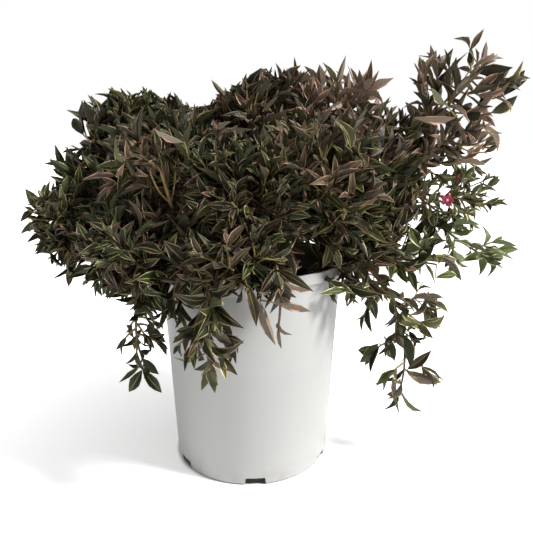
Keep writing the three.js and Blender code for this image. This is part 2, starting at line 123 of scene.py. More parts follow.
bm = bmesh.new()
bmesh.ops.create_grid(bm, x_segments=1, y_segments=1, size=floor_size / 2)
floor = bpy.data.objects.new("floor", bpy.data.meshes.new("floor"))
bm.to_mesh(floor.data)
bm.free()
bpy.context.scene.collection.objects.link(floor)

# %% [markdown]
# ## Helpers for materials
# Every finish starts from a Principled shader. Two effects turn up in several finishes, so each is a
# node group that is built once: a fine grain, which mottles a colour and roughens it, and the relief of
# a leaf, with its side veins. A group only puts out values that change over the surface.


# %% Material helpers
def material(name, colour, roughness):
    """A material with its Principled shader, ready for more nodes."""
    made = bpy.data.materials.new(name)
    made.use_nodes = True
    shader = made.node_tree.nodes["Principled BSDF"]
    shader.inputs["Base Color"].default_value = (*colour, 1)
    shader.inputs["Roughness"].default_value = roughness
    return made


def node(tree, kind, inputs=(), **settings):
    """A node with its settings and the values of some of its inputs."""
    made = tree.nodes.new("ShaderNode" + kind)
    for name, value in settings.items():
        setattr(made, name, value)
    for name, value in dict(inputs).items():
        made.inputs[name].default_value = value
    return made


def new_group(name, inputs, outputs):
    """An empty node group with named sockets: (kind, default value) for an input, kind for an output."""
    tree = bpy.data.node_groups.new(name, "ShaderNodeTree")
    for socket, (kind, value) in inputs.items():
        made = tree.interface.new_socket(socket, in_out="INPUT", socket_type="NodeSocket" + kind)
        if value is not None:
            made.default_value = value
    for socket, kind in outputs.items():
        tree.interface.new_socket(socket, in_out="OUTPUT", socket_type="NodeSocket" + kind)
    return tree, tree.nodes.new("NodeGroupInput"), tree.nodes.new("NodeGroupOutput")


def use_group(tree, group, values):
    """Places a group in a material, with that material's own values."""
    made = tree.nodes.new("ShaderNodeGroup")
    made.node_tree = group
    for name, value in values.items():
        made.inputs[name].default_value = value
    return made


# %% The grain group
def build_grain():
    """Fine grain on Object coordinates: a colour between two, a roughness and a height."""
    tree, start, end = new_group(
        "grain",
        {
            "Colour": ("Color", (0.5, 0.5, 0.5, 1)),
            "Other colour": ("Color", (0.4, 0.4, 0.4, 1)),
            "Scale": ("Float", 100.0),
            "Stretch": ("Vector", (1.0, 1.0, 1.0)),
            "Roughness": ("Float", 0.5),
            "Roughness spread": ("Float", 0.1),
        },
        {"Colour": "Color", "Roughness": "Float", "Height": "Float"},
    )
    place = node(tree, "TexCoord")
    stretched = node(tree, "VectorMath", operation="MULTIPLY")
    tree.links.new(place.outputs["Object"], stretched.inputs[0])
    tree.links.new(start.outputs["Stretch"], stretched.inputs[1])
    speckle = node(tree, "TexNoise", {"Detail": 5.0, "Roughness": 0.6})
    tree.links.new(stretched.outputs[0], speckle.inputs["Vector"])
    tree.links.new(start.outputs["Scale"], speckle.inputs["Scale"])
    contrast = node(tree, "MapRange", {"From Min": 0.3, "From Max": 0.7})
    tree.links.new(speckle.outputs["Fac"], contrast.inputs["Value"])
    blend = node(tree, "Mix", data_type="RGBA")
    tree.links.new(contrast.outputs["Result"], blend.inputs["Factor"])
    tree.links.new(start.outputs["Colour"], blend.inputs[6])
    tree.links.new(start.outputs["Other colour"], blend.inputs[7])
    tree.links.new(blend.outputs[2], end.inputs["Colour"])
    uneven = node(tree, "Math", operation="MULTIPLY_ADD")
    tree.links.new(speckle.outputs["Fac"], uneven.inputs[0])
    tree.links.new(start.outputs["Roughness spread"], uneven.inputs[1])
    tree.links.new(start.outputs["Roughness"], uneven.inputs[2])
    tree.links.new(uneven.outputs[0], end.inputs["Roughness"])
    tree.links.new(speckle.outputs["Fac"], end.inputs["Height"])
    return tree


grain = build_grain()


def grained(name, colour, other, roughness, scale, bump, stretch=(1, 1, 1), spread=0.15):
    """A finish whose colour, roughness and relief all follow the grain."""
    made = material(name, colour, roughness)
    tree = made.node_tree
    shader = tree.nodes["Principled BSDF"]
    group = use_group(tree, grain, {
        "Colour": (*colour, 1),
        "Other colour": (*other, 1),
        "Scale": scale,
        "Stretch": stretch,
        "Roughness": roughness - spread / 2,
        "Roughness spread": spread,
    })
    relief = node(tree, "Bump", {"Strength": bump[0], "Distance": bump[1]})
    tree.links.new(group.outputs["Colour"], shader.inputs["Base Color"])
    tree.links.new(group.outputs["Roughness"], shader.inputs["Roughness"])
    tree.links.new(group.outputs["Height"], relief.inputs["Height"])
    tree.links.new(relief.outputs["Normal"], shader.inputs["Normal"])
    return made


# %% [markdown]
# The floor is a light table, and its glow is painted light, since the floor is no lamp. It glows, but not
# under the pot, which paints shade there that shows through the notches, and less near the pot, which
# paints a contact shadow round its foot on top of the real one. The camera's rays see all of the glow,
# which whitens the background. Other rays get nine tenths of it beside the pot, whose foot it lights, and
# less than half further out, so that the undersides of the leaves stay dark.


# %% Floor finish
def build_floor_finish():
    made = grained("studio_floor", (0.93, 0.93, 0.93), (0.92, 0.92, 0.92), 0.8, 3, (0.02, 0.001))
    tree = made.node_tree
    shader = tree.nodes["Principled BSDF"]
    shader.inputs["Emission Color"].default_value = (1, 1, 1, 1)
    distance = node(tree, "VectorMath", operation="LENGTH")
    tree.links.new(node(tree, "TexCoord").outputs["Object"], distance.inputs[0])
    # no glow under the pot: painted shade, seen through the notches
    near = node(tree, "MapRange", {"From Min": 0.092, "From Max": 0.098, "To Max": 0.52})
    tree.links.new(distance.outputs["Value"], near.inputs["Value"])
    # less glow near the pot: a painted contact shadow that fades outwards
    far = node(tree, "MapRange", {"From Min": 0.10, "From Max": 0.38, "To Max": 0.40})
    tree.links.new(distance.outputs["Value"], far.inputs["Value"])
    glow = node(tree, "Math", operation="ADD")
    tree.links.new(near.outputs["Result"], glow.inputs[0])
    tree.links.new(far.outputs["Result"], glow.inputs[1])
    lit = node(tree, "MapRange", {"From Min": 0.10, "From Max": 0.28, "To Min": 0.90, "To Max": 0.42})
    tree.links.new(distance.outputs["Value"], lit.inputs["Value"])
    share = node(tree, "Math", operation="MAXIMUM")
    tree.links.new(node(tree, "LightPath").outputs["Is Camera Ray"], share.inputs[0])
    tree.links.new(lit.outputs["Result"], share.inputs[1])
    strength = node(tree, "Math", operation="MULTIPLY")
    tree.links.new(glow.outputs[0], strength.inputs[0])
    tree.links.new(share.outputs[0], strength.inputs[1])
    tree.links.new(strength.outputs[0], shader.inputs["Emission Strength"])
    return made


floor.data.materials.append(build_floor_finish())

# %% [markdown]
# ## Making a piece
# A finished piece's object sits at the origin and its place is in its mesh, as a CAD node's does. Large
# shapes are made with bmesh operators. Thousands of small ones, such as leaves, are copies of a shape
# made that way, joined as arrays, because an operator call for each would take minutes.


# %% Piece helpers
def piece(name, mesh, finishes, nodes):
    """Makes a mesh an object of the part, which rides on the root and stands for some CAD nodes."""
    obj = bpy.data.objects.new(name, mesh)
    for finish in finishes:
        mesh.materials.append(finish)
    bpy.context.scene.collection.objects.link(obj)
    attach(obj, "root")
    if nodes:
        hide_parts(*nodes)
    mesh.calc_loop_triangles()
    print(name, len(mesh.loop_triangles), "triangles")
    return obj


def mesh_from(name, bm, sharp=35):
    """Ends a bmesh: smooth faces, with the edges sharper than an angle kept crisp."""
    mesh = bpy.data.meshes.new(name)
    for face in bm.faces:
        face.smooth = True
    bm.to_mesh(mesh)
    bm.free()
    mesh.set_sharp_from_angle(angle=math.radians(sharp))
    return mesh


def arrays_of(bm):
    """A small shape as arrays, for copying many times."""
    bm.verts.ensure_lookup_table()
    flow = bm.loops.layers.uv.active
    corners = [loop for face in bm.faces for loop in face.loops]
    return dict(
        points=np.array([v.co for v in bm.verts]),
        corners=np.array([loop.vert.index for loop in corners]),
        sizes=np.array([len(face.verts) for face in bm.faces]),
        slots=np.array([face.material_index for face in bm.faces]),
        uv=np.array([loop[flow].uv if flow else (0, 0) for loop in corners]),
    )


class Joined:
    """Collects copies of small shapes and makes them one mesh."""

    def __init__(self):
        self.parts = []
        self.count = 0

    def add(self, shape, points, first_slots):
        """Adds copies of a shape. points has one row of places for each copy."""
        copies, each = points.shape[:2]
        starts = self.count + np.arange(copies)[:, None] * each
        self.parts.append((
            points.reshape(-1, 3),
            (shape["corners"] + starts).ravel(),
            np.tile(shape["sizes"], copies),
            (shape["slots"] + np.asarray(first_slots)[:, None]).ravel(),
            np.tile(shape["uv"], (copies, 1)),
        ))
        self.count += copies * each

    def mesh(self, name, sharp=60):
        points, corners, sizes, slots, uv = (np.concatenate(rows) for rows in zip(*self.parts))
        mesh = bpy.data.meshes.new(name)
        mesh.vertices.add(len(points))
        mesh.loops.add(len(corners))
        mesh.polygons.add(len(sizes))
        mesh.vertices.foreach_set("co", points.ravel().astype(np.float32))
        mesh.loops.foreach_set("vertex_index", corners.astype(np.int32))
        mesh.polygons.foreach_set("loop_start", np.concatenate([[0], np.cumsum(sizes)[:-1]]).astype(np.int32))
        mesh.polygons.foreach_set("material_index", slots.astype(np.int32))
        mesh.update(calc_edges=True)
        mesh.uv_layers.new(name="flow").data.foreach_set("uv", uv.ravel().astype(np.float32))
        mesh.shade_smooth()
        mesh.set_sharp_from_angle(angle=math.radians(sharp))
        return mesh


def dice(seed):
    """Numbers from 0 to 1, the same on every run."""
    state = seed
    while True:
        state = (state * 48271) % 2147483647
        yield state / 2147483647


# %% [markdown]
# ## The pot
# A nursery pot is blow-moulded from thin plastic: a tapered wall, a thicker band at the rim, a rounded
# foot, and drainage notches where the wall meets the floor. A profile that is spun round the axis gives
# all but the notches. They are cut with a Boolean, which leaves true edges for the light to catch.

# %% Pot sizes
pot_low, pot_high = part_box("pot")
pot_height = pot_high.z
rim_radius = (pot_high.x - pot_low.x) / 2
shoulder_radius = rim_radius - 0.0034
base_radius = 0.0942
wall = 0.002
floor_thickness = 0.003
band_height = 0.012
lip = 0.0034
foot_round = 0.0035
spin_steps = 128
notch_count = 6
notch_width, notch_top_width, notch_height, notch_depth = 0.025, 0.022, 0.009, 0.012
notch_turn = math.radians(2)


def arc(middle, radius, first, last, steps):
    """Points on an arc in the profile's plane, from one angle to another in degrees."""
    return [
        (
            middle[0] + radius * math.cos(math.radians(first + (last - first) * i / steps)),
            middle[1] + radius * math.sin(math.radians(first + (last - first) * i / steps)),
        )
        for i in range(steps + 1)
    ]


def pot_profile():
    """The outline of the wall, from the middle of the underside round the rim to the inside."""
    band_foot = pot_height - band_height
    slope = (shoulder_radius - base_radius) / band_foot
    bead = 0.036  # a faint ledge below the rim, where stacked pots catch
    return [
        (0, 0),
        *arc((base_radius - foot_round, foot_round), foot_round, -90, 0, 5),
        (shoulder_radius - slope * bead - 0.0006, pot_height - bead - 0.002),
        (shoulder_radius - slope * bead, pot_height - bead),
        (shoulder_radius - 0.0004, band_foot - 0.0012),
        (shoulder_radius, band_foot - 0.0004),
        *arc((rim_radius - 0.0012, band_foot + 0.0012), 0.0012, -90, 0, 3),
        *arc((rim_radius - lip / 2, pot_height - lip / 2), lip / 2, 0, 180, 8),
        (rim_radius - lip - 0.0006, band_foot - 0.003),
        (base_radius - wall + 0.0008, floor_thickness),
        (0, floor_thickness),
    ]


# %% Spin the pot and cut its notches
def notch_cutters():
    """A tapered block for each notch, standing in the foot of the wall."""
    bm = bmesh.new()
    for i in range(notch_count):
        made = bmesh.ops.create_cube(bm, size=1)["verts"]
        for v in made:
            half = (notch_top_width if v.co.z > 0 else notch_width) / 2
            v.co.x = math.copysign(half, v.co.x)
            v.co.z = notch_height if v.co.z > 0 else -0.002
            v.co.y = -base_radius + (notch_depth if v.co.y > 0 else -0.01)
        turn = Matrix.Rotation(notch_turn + i * 2 * math.pi / notch_count, 3, "Z")
        bmesh.ops.rotate(bm, verts=made, cent=(0, 0, 0), matrix=turn)
    upright = [e for e in bm.edges if e.verts[0].co.z > 0 and e.verts[1].co.z > 0]
    bmesh.ops.bevel(bm, geom=upright, offset=0.0012, offset_type="OFFSET", affect="EDGES",
                    segments=3, profile=0.5, material=-1, clamp_overlap=True)
    return bm


def spun(profile, steps):
    """A closed profile spun once round the Z axis."""
    bm = bmesh.new()
    verts = [bm.verts.new((r, 0, z)) for r, z in profile]
    edges = [bm.edges.new(pair) for pair in zip(verts, verts[1:])]
    bmesh.ops.spin(bm, geom=verts + edges, cent=(0, 0, 0), axis=(0, 0, 1), angle=2 * math.pi,
                   steps=steps, use_merge=True)
    bmesh.ops.remove_doubles(bm, verts=bm.verts, dist=1e-6)
    bmesh.ops.recalc_face_normals(bm, faces=bm.faces)
    return bm


def cut(mesh, cutter_bm):
    """Cuts one mesh by another, exactly, and applies it."""
    body = bpy.data.objects.new("body", mesh)
    cutter = bpy.data.objects.new("cutter", bpy.data.meshes.new("cutter"))
    cutter_bm.to_mesh(cutter.data)
    cutter_bm.free()
    for obj in (body, cutter):
        bpy.context.scene.collection.objects.link(obj)
    boolean = body.modifiers.new("cut", "BOOLEAN")
    boolean.object = cutter
    boolean.solver = "EXACT"
    done = bpy.data.meshes.new_from_object(body.evaluated_get(bpy.context.evaluated_depsgraph_get()))
    for obj in (body, cutter):
        bpy.data.objects.remove(obj)
    return done


pot_bm = spun(pot_profile(), spin_steps)
pot_mesh = bpy.data.meshes.new("nursery_pot")
pot_bm.to_mesh(pot_mesh)
pot_bm.free()
pot_mesh = cut(pot_mesh, notch_cutters())
pot_mesh.shade_smooth()
pot_mesh.set_sharp_from_angle(angle=math.radians(28))

# %% [markdown]
# The plastic is white with a satin sheen. Handling has dulled it in patches, and a little soil dust
# clings near the foot. The dust is a mask of height and noise that leads to a warmer, darker grey.


# %% Plastic finish
def build_plastic():
    made = grained("white_plastic", (0.475, 0.475, 0.462), (0.445, 0.445, 0.432), 0.42, 9,
                   (0.06, 0.002), stretch=(1, 1, 0.35))
    tree = made.node_tree
    shader = tree.nodes["Principled BSDF"]
    clean = shader.inputs["Base Color"].links[0].from_socket
    place = node(tree, "TexCoord")
    height = node(tree, "SeparateXYZ")
    tree.links.new(place.outputs["Object"], height.inputs[0])
    low = node(tree, "MapRange", {"From Min": 0.03, "From Max": 0.0, "To Max": 0.5})
    tree.links.new(height.outputs["Z"], low.inputs["Value"])
    patches = node(tree, "TexNoise", {"Scale": 60.0, "Detail": 6.0})
    tree.links.new(place.outputs["Object"], patches.inputs["Vector"])
    speck = node(tree, "MapRange", {"From Min": 0.42, "From Max": 0.72})
    tree.links.new(patches.outputs["Fac"], speck.inputs["Value"])
    dust = node(tree, "Math", operation="MULTIPLY")
    tree.links.new(low.outputs["Result"], dust.inputs[0])
    tree.links.new(speck.outputs["Result"], dust.inputs[1])
    blend = node(tree, "Mix", data_type="RGBA")
    blend.inputs[7].default_value = (0.33, 0.29, 0.24, 1)
    tree.links.new(dust.outputs[0], blend.inputs["Factor"])
    tree.links.new(clean, blend.inputs[6])
    tree.links.new(blend.outputs[2], shader.inputs["Base Color"])
    return made


white_plastic = build_plastic()
piece("nursery_pot", pot_mesh, [white_plastic], ["pot"])

# %% [markdown]
# ## The potting mix
# The top of the mix is heaped a little towards the foot and sunk at the wall. A disc of rings is raised
# and lowered by noise for the clods, and strewn with flakes of composted bark.

# %% Potting mix
soil_low, soil_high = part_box("soil")
soil_radius = (soil_high.x - soil_low.x) / 2
soil_level = soil_high.z
soil_edge_drop = 0.006
clod_height = 0.0022


def soil_height(x, y):
    """The height of the mix at a place: its heap, and the clods on it."""
    out = math.hypot(x, y) / soil_radius
    heap = -soil_edge_drop * max(0.0, out - 0.3) / 0.7
    clods = noise.fractal(Vector((x, y, 0)) * 90, 0.8, 2.1, 4) * clod_height
    return soil_level - 0.0015 + heap + clods


def soil_mesh():
    bm = bmesh.new()
    bmesh.ops.create_circle(bm, cap_ends=True, cap_tris=True, segments=96, radius=soil_radius - 0.001)
    for _ in range(2):
        rims = [e for e in bm.edges if not e.is_boundary]
        bmesh.ops.subdivide_edges(bm, edges=rims, cuts=3, use_grid_fill=True)
    bmesh.ops.triangulate(bm, faces=bm.faces)
    for v in bm.verts:
        v.co.z = soil_height(v.co.x, v.co.y)
    rim = [e for e in bm.edges if e.is_boundary]
    skirt = bmesh.ops.extrude_edge_only(bm, edges=rim)["geom"]
    lowered = [v for v in skirt if isinstance(v, bmesh.types.BMVert)]
    for v in lowered:
        v.co.z = soil_low.z
        v.co.xy *= (base_radius - wall - 0.0006) / v.co.xy.length
    bmesh.ops.contextual_create(bm, geom=[e for e in bm.edges if e.is_boundary])
    bmesh.ops.recalc_face_normals(bm, faces=bm.faces)
    return mesh_from("potting_mix", bm, sharp=70)


mix_finish = grained("potting_mix", (0.022, 0.016, 0.012), (0.05, 0.036, 0.025), 0.95, 260, (0.7, 0.001))
piece("potting_mix", soil_mesh(), [mix_finish], ["soil"])

# %% [markdown]
# Flakes of bark are small bevelled blocks, each turned its own way and half sunk in the mix. Some of
# them are pale inner wood, and a few white grains are the perlite that keeps the mix open.


# %% Bark flakes
def flake_shape():
    bm = bmesh.new()
    bmesh.ops.create_cube(bm, size=1)
    bmesh.ops.bevel(bm, geom=bm.edges[:], offset=0.18, offset_type="OFFSET", affect="EDGES",
                    segments=1, profile=0.5, material=-1)
    shape = arrays_of(bm)
    bm.free()
    return shape


def flakes(count):
    """Flakes strewn evenly over the mix."""
    shape = flake_shape()
    roll = dice(811)
    points, kinds = [], []
    for _ in range(count):
        out = soil_radius * 0.97 * math.sqrt(next(roll))
        bearing = 2 * math.pi * next(roll)
        x, y = out * math.cos(bearing), out * math.sin(bearing)
        size = 0.0012 + 0.0045 * next(roll) ** 2
        kind = 2 if next(roll) > 0.97 else int(next(roll) > 0.7)
        flat = (size, size * 0.6, size * 0.35) if kind < 2 else (0.0013, 0.0012, 0.0011)
        turn = Matrix.Rotation(6.3 * next(roll), 3, "Z") @ Matrix.Rotation(0.9 * next(roll) - 0.45, 3, "X")
        spin = np.array(turn @ Matrix.Diagonal(flat))
        points.append(shape["points"] @ spin.T + (x, y, soil_height(x, y) + 0.0003))
        kinds.append(kind)
    joined = Joined()
    joined.add(shape, np.array(points), kinds)
    return joined.mesh("bark_flakes")


flake_finishes = [
    grained("dark_flake", (0.03, 0.02, 0.014), (0.06, 0.04, 0.026), 0.9, 300, (0.4, 0.0006)),
    grained("pale_flake", (0.09, 0.058, 0.034), (0.05, 0.032, 0.02), 0.9, 300, (0.4, 0.0006)),
    grained("perlite", (0.6, 0.59, 0.56), (0.5, 0.49, 0.46), 0.9, 500, (0.4, 0.0004)),
]
piece("bark_flakes", flakes(900), flake_finishes, [])

# %% [markdown]
# ## The plan of the crown
# The crown repeats the plan of the solids: each mass of foliage keeps to an ellipsoid, and its bough
# leaves the foot or another bough. A row gives the middle of the mass, its half sizes across, deep and
# high, its parent limb and where on it the bough forks, and how far light pulls its shoots up (1) or
# they hang (-1). Then come its palette, how many shoots it may have, and the length of its leaves. A
# full mass takes as many shoots as find room, and an open one only a few, so that sky shows through.

# %% Masses
full = 99
# the palettes of the masses on the lit top, right and arm are lighter, those on the shaded left darker: painted
# highlight and painted shade, besides leaf colour
plan_rows = [
    ("left_skirt", (-0.108, -0.080, 0.270), (0.084, 0.080, 0.062), "foot", 0.40, 0.2, "dim", full, 0.037),
    ("right_skirt", (0.120, -0.020, 0.286), (0.076, 0.082, 0.066), "foot", 0.45, 0.2, "green", full, 0.037),
    ("back_left_skirt", (-0.115, 0.105, 0.300), (0.090, 0.085, 0.072), "foot", 0.42, 0.4, "olive", full, 0.037),
    ("back_right_skirt", (0.110, 0.100, 0.300), (0.090, 0.085, 0.072), "foot", 0.36, 0.4, "green", full, 0.037),
    ("left_tip", (-0.190, -0.010, 0.292), (0.076, 0.076, 0.072), "foot", 0.78, 0.3, "dim", full, 0.037),
    ("top_middle", (0.006, 0.022, 0.392), (0.074, 0.080, 0.077), "foot", 0.94, 1, "bronze", full, 0.038),
    ("front_heart", (-0.005, -0.085, 0.324), (0.076, 0.086, 0.076), "foot", 0.84, 0.6, "dim", full, 0.036),
    ("arm_base", (0.164, 0.002, 0.360), (0.066, 0.064, 0.074), "foot", 0.72, 1, "sunny", full, 0.034),
    ("arm_middle", (0.232, 0.008, 0.380), (0.066, 0.054, 0.052), "arm_base", 0.60, 0.7, "sunny", 18, 0.032),
    ("back_middle", (0.000, 0.120, 0.335), (0.085, 0.082, 0.085), "foot", 0.82, 0.6, "bronze", full, 0.037),
    ("left_crown", (-0.135, 0.035, 0.370), (0.086, 0.082, 0.082), "left_tip", 0.34, 1, "shade", full, 0.037),
    ("left_heart", (-0.076, -0.062, 0.350), (0.078, 0.078, 0.074), "left_skirt", 0.40, 0.6, "bronze", full, 0.037),
    ("front_skirt", (-0.015, -0.118, 0.268), (0.062, 0.056, 0.050), "front_heart", 0.40, 0, "bronze", full, 0.037),
    ("right_heart", (0.078, -0.062, 0.340), (0.078, 0.080, 0.076), "right_skirt", 0.45, 0.6, "mixed", full, 0.037),
    ("top_right", (0.086, 0.030, 0.392), (0.078, 0.080, 0.076), "top_middle", 0.30, 1, "sunlit", full, 0.038),
    ("back_left_top", (-0.065, 0.100, 0.375), (0.082, 0.076, 0.075), "back_middle", 0.35, 0.6, "bronze", full, 0.037),
    ("back_right_top", (0.072, 0.095, 0.384), (0.084, 0.076, 0.076), "back_middle", 0.50, 1, "sunlit", full, 0.037),
    ("arm_top", (0.246, 0.000, 0.446), (0.074, 0.060, 0.062), "arm_middle", 0.55, 1, "sunny", 4, 0.036),
    ("arm_low", (0.236, -0.004, 0.316), (0.066, 0.054, 0.046), "arm_middle", 0.50, 0.3, "cream", 20, 0.024),
    ("right_wing", (0.266, -0.012, 0.256), (0.054, 0.044, 0.040), "arm_low", 0.62, -0.3, "fresh", 2, 0.036),
    ("right_spray", (0.188, -0.042, 0.248), (0.052, 0.052, 0.046), "right_skirt", 0.80, 0.1, "green", 5, 0.040),
    ("right_fall", (0.180, -0.032, 0.188), (0.060, 0.046, 0.044), "right_spray", 0.50, -0.4, "cream", 4, 0.036),
    ("right_trailer", (0.180, -0.030, 0.106), (0.054, 0.040, 0.060), "right_spray", 0.72, -1, "trail", 1, 0.036),
    ("left_trailer", (-0.114, -0.100, 0.178), (0.030, 0.030, 0.058), "left_heart", 0.62, -1, "shade", 18, 0.024),
    ("front_trailer", (-0.042, -0.147, 0.190), (0.036, 0.032, 0.048), "left_skirt", 0.55, -1, "olive", 16, 0.042),
    ("middle_trailer", (0.026, -0.140, 0.222), (0.040, 0.032, 0.038), "front_skirt", 0.55, -0.8, "bronze", 0, 0.040),
]


class Mass:
    """One mass of foliage: its ellipsoid, its limb, and what grows in it."""

    def __init__(self, index, name, middle, half, parent, fork, light, palette, shoots, leaf):
        self.name = name
        self.middle = np.array(middle)
        self.half = np.array(half)
        self.parent = parent
        self.fork = fork
        self.light = light
        self.palette = palette
        self.shoots = shoots
        self.leaf = leaf
        self.seed = 101 + index * 37
        self.is_full = shoots == full
        if self.is_full:
            self.bounds = (0.80, 1.18) if light == 1 else (0.72, 1.10)
        else:
            self.bounds = (1.0, 1.3) if light == -1 else (0.90, 1.12)
        self.rise = max(light, 0.5) if self.is_full else max(light, -0.3)
        self.spacing = 1.0 if self.is_full else 1.5


masses = [Mass(i, *row) for i, row in enumerate(plan_rows)]
by_name = {mass.name: mass for mass in masses}
print(len(masses), "masses")

# %% [markdown]
# Some shoots stand proud of the crown or hang over the rim, and give the plant its outline. They are
# named one by one: the mass that each belongs to, and where its tip is.

# %% Proud shoots
proud_shoots = {
    "top_middle": [(0.035, 0.010, 0.446), (0.053, 0.010, 0.439)],
    "top_right": [(0.100, 0.020, 0.427), (0.130, 0.020, 0.436)],
    "arm_base": [(0.158, 0.000, 0.416), (0.174, 0.000, 0.418), (0.188, -0.010, 0.408)],
    "arm_top": [(0.193, 0.000, 0.440), (0.210, 0.000, 0.464), (0.224, 0.000, 0.468), (0.245, 0.000, 0.456),
                (0.265, 0.000, 0.452), (0.280, 0.000, 0.444), (0.197, -0.020, 0.422), (0.225, -0.030, 0.438),
                (0.265, 0.000, 0.420), (0.252, -0.030, 0.408), (0.236, 0.010, 0.450), (0.211, -0.010, 0.436),
                (0.254, -0.014, 0.438)],
    "right_wing": [(0.244, -0.012, 0.262), (0.269, -0.012, 0.262), (0.290, -0.012, 0.252)],
    "left_crown": [(-0.121, 0.030, 0.420), (-0.178, 0.030, 0.402)],
    "left_tip": [(-0.226, -0.010, 0.305), (-0.205, 0.000, 0.360), (-0.209, -0.020, 0.240)],
    "left_skirt": [(-0.079, -0.120, 0.227), (-0.104, -0.110, 0.228)],
    "right_skirt": [(0.086, -0.076, 0.228), (0.108, -0.070, 0.222), (0.132, -0.060, 0.226)],
    "right_trailer": [(0.144, -0.030, 0.134), (0.219, -0.030, 0.104), (0.172, -0.030, 0.110)],
}
proud_bound = 1.45

# %% [markdown]
# ## Lines that limbs and twigs follow
# A limb follows a Bezier curve. It is kept as evenly spaced points, so that a place on it is a share of
# its length, as in the source of the solids.

# %% Lines
up = np.array([0.0, 0.0, 1.0])
golden_angle = math.pi * (3 - math.sqrt(5))
line_steps = 24


def unit(vector):
    return vector / np.linalg.norm(vector)


def line_of(*controls):
    """Evenly spaced points on the Bezier curve of two, three or four control points."""
    share = np.linspace(0, 1, 81)[:, None]
    rows = [np.asarray(point)[None, :] for point in controls]
    while len(rows) > 1:
        rows = [a * (1 - share) + b * share for a, b in zip(rows, rows[1:])]
    steps = np.linalg.norm(np.diff(rows[0], axis=0), axis=1)
    length = np.concatenate([[0], np.cumsum(steps)])
    even = np.linspace(0, length[-1], line_steps + 1)
    return np.column_stack([np.interp(even, length, rows[0][:, k]) for k in range(3)])


def at(line, share):
    """The point at a share of a line's length."""
    spot = min(max(share, 0.0), 1.0) * line_steps
    step = min(int(spot), line_steps - 1)
    return line[step] + (line[step + 1] - line[step]) * (spot - step)


def heading(line, share):
    """The direction of a line at a share of its length."""
    step = min(int(min(max(share, 0.0), 1.0) * line_steps), line_steps - 1)
    return unit(line[step + 1] - line[step])


# %% [markdown]
# ## Foot and boughs
# The foot leaves the mix upright and leans slightly. A bough leaves its parent, arches towards its mass
# and ends where it enters it, and a hanging one comes in from above.

# %% The foot's line
foot_height = 0.062
foot_low, foot_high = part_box("foot")
foot_base = np.array([0, 0, foot_low.z])
foot_line = line_of(foot_base, foot_base + (0, 0, foot_height / 2), foot_base + (0.004, -0.003, foot_height))


def foot_radius(share):
    """The foot's radius: a taper, with a flare that falls away quickly above the mix."""
    return 0.013 + (0.011 - 0.013) * share + 0.008 * math.exp(-5.5 * share)


# %% The boughs' lines
def reach(mass, towards):
    """How far a mass reaches from its middle towards a unit vector."""
    return 1 / np.linalg.norm(towards / mass.half)


bough_tip_radius = 0.0016


def plan_bough(mass):
    """Gives a mass its bough: a line, and its radius at a share of that line."""
    parent = by_name.get(mass.parent)
    line = parent.bough if parent else foot_line
    start = at(line, mass.fork)
    hangs = mass.light < -0.5
    back = up if hangs else unit(start - mass.middle)
    end = mass.middle + back * reach(mass, back) * 0.86
    span = np.linalg.norm(end - start)
    towards = unit(end - start)
    if parent:
        leave = unit(heading(line, mass.fork) * 0.5 + towards)
        root = min(0.0038, parent.bough_root * 0.9)
    else:
        leave = unit(np.array([towards[0], towards[1], max(towards[2], 0.35)]))
        root = 0.0048
    mass.enter = unit(np.array([*towards[:2] * 0.5, -1.0])) if hangs else unit(towards + up * 0.25 * mass.light)
    arch = span * (0.45 if hangs else 0.36)
    mass.bough = line_of(start, start + leave * arch, end - mass.enter * arch, end)
    mass.bough_root = root
    mass.bough_radius = lambda share: root * 0.9 + (bough_tip_radius - root * 0.9) * share


for mass in masses:
    plan_bough(mass)
spans = np.array([(a, b) for mass in masses for a, b in zip(mass.bough[::4], mass.bough[4::4])])

# %% [markdown]
# ## Bark
# A limb is a ring of edges that is extruded from step to step along its line. Noise that is stretched
# lengthwise then raises the ridges of the bark, higher on the old foot than on the thin boughs.


# %% Extruded limbs
def frame_at(line, share, radius):
    """The matrix that carries a unit ring to a place on a line."""
    along = Vector(heading(line, share))
    turn = along.to_track_quat("Z", "Y").to_matrix().to_4x4()
    return Matrix.Translation(at(line, share)) @ turn @ Matrix.Diagonal((radius, radius, radius, 1))


def grow_limb(bm, line, radius_at, facets, rings):
    """Extrudes a ring of edges along a line. Returns the limb's vertices."""
    here = frame_at(line, 0, radius_at(0))
    made = bmesh.ops.create_circle(bm, cap_ends=True, segments=facets, radius=1, matrix=here)["verts"]
    bmesh.ops.reverse_faces(bm, faces=made[0].link_faces[:])
    edges = list({edge for v in made for edge in v.link_edges})
    grown = list(made)
    for ring in range(1, rings + 1):
        there = frame_at(line, ring / rings, radius_at(ring / rings))
        found = bmesh.ops.extrude_edge_only(bm, edges=edges)["geom"]
        edges = [item for item in found if isinstance(item, bmesh.types.BMEdge)]
        verts = [item for item in found if isinstance(item, bmesh.types.BMVert)]
        bmesh.ops.transform(bm, matrix=there @ here.inverted(), verts=verts)
        grown += verts
        here = there
    bmesh.ops.contextual_create(bm, geom=edges)
    return grown


def raise_bark(bm, verts, line, depth):
    """Moves a limb's vertices out and in by noise that is stretched along its line."""
    bm.normal_update()
    for v in verts:
        nearest = np.argmin(np.linalg.norm(line - v.co, axis=1))
        side = v.co - Vector(line[nearest])
        ridge = noise.fractal(side * 420 + Vector((nearest * 0.35, 0, 0)), 0.7, 2.0, 3)
        v.co += v.normal * ridge * depth


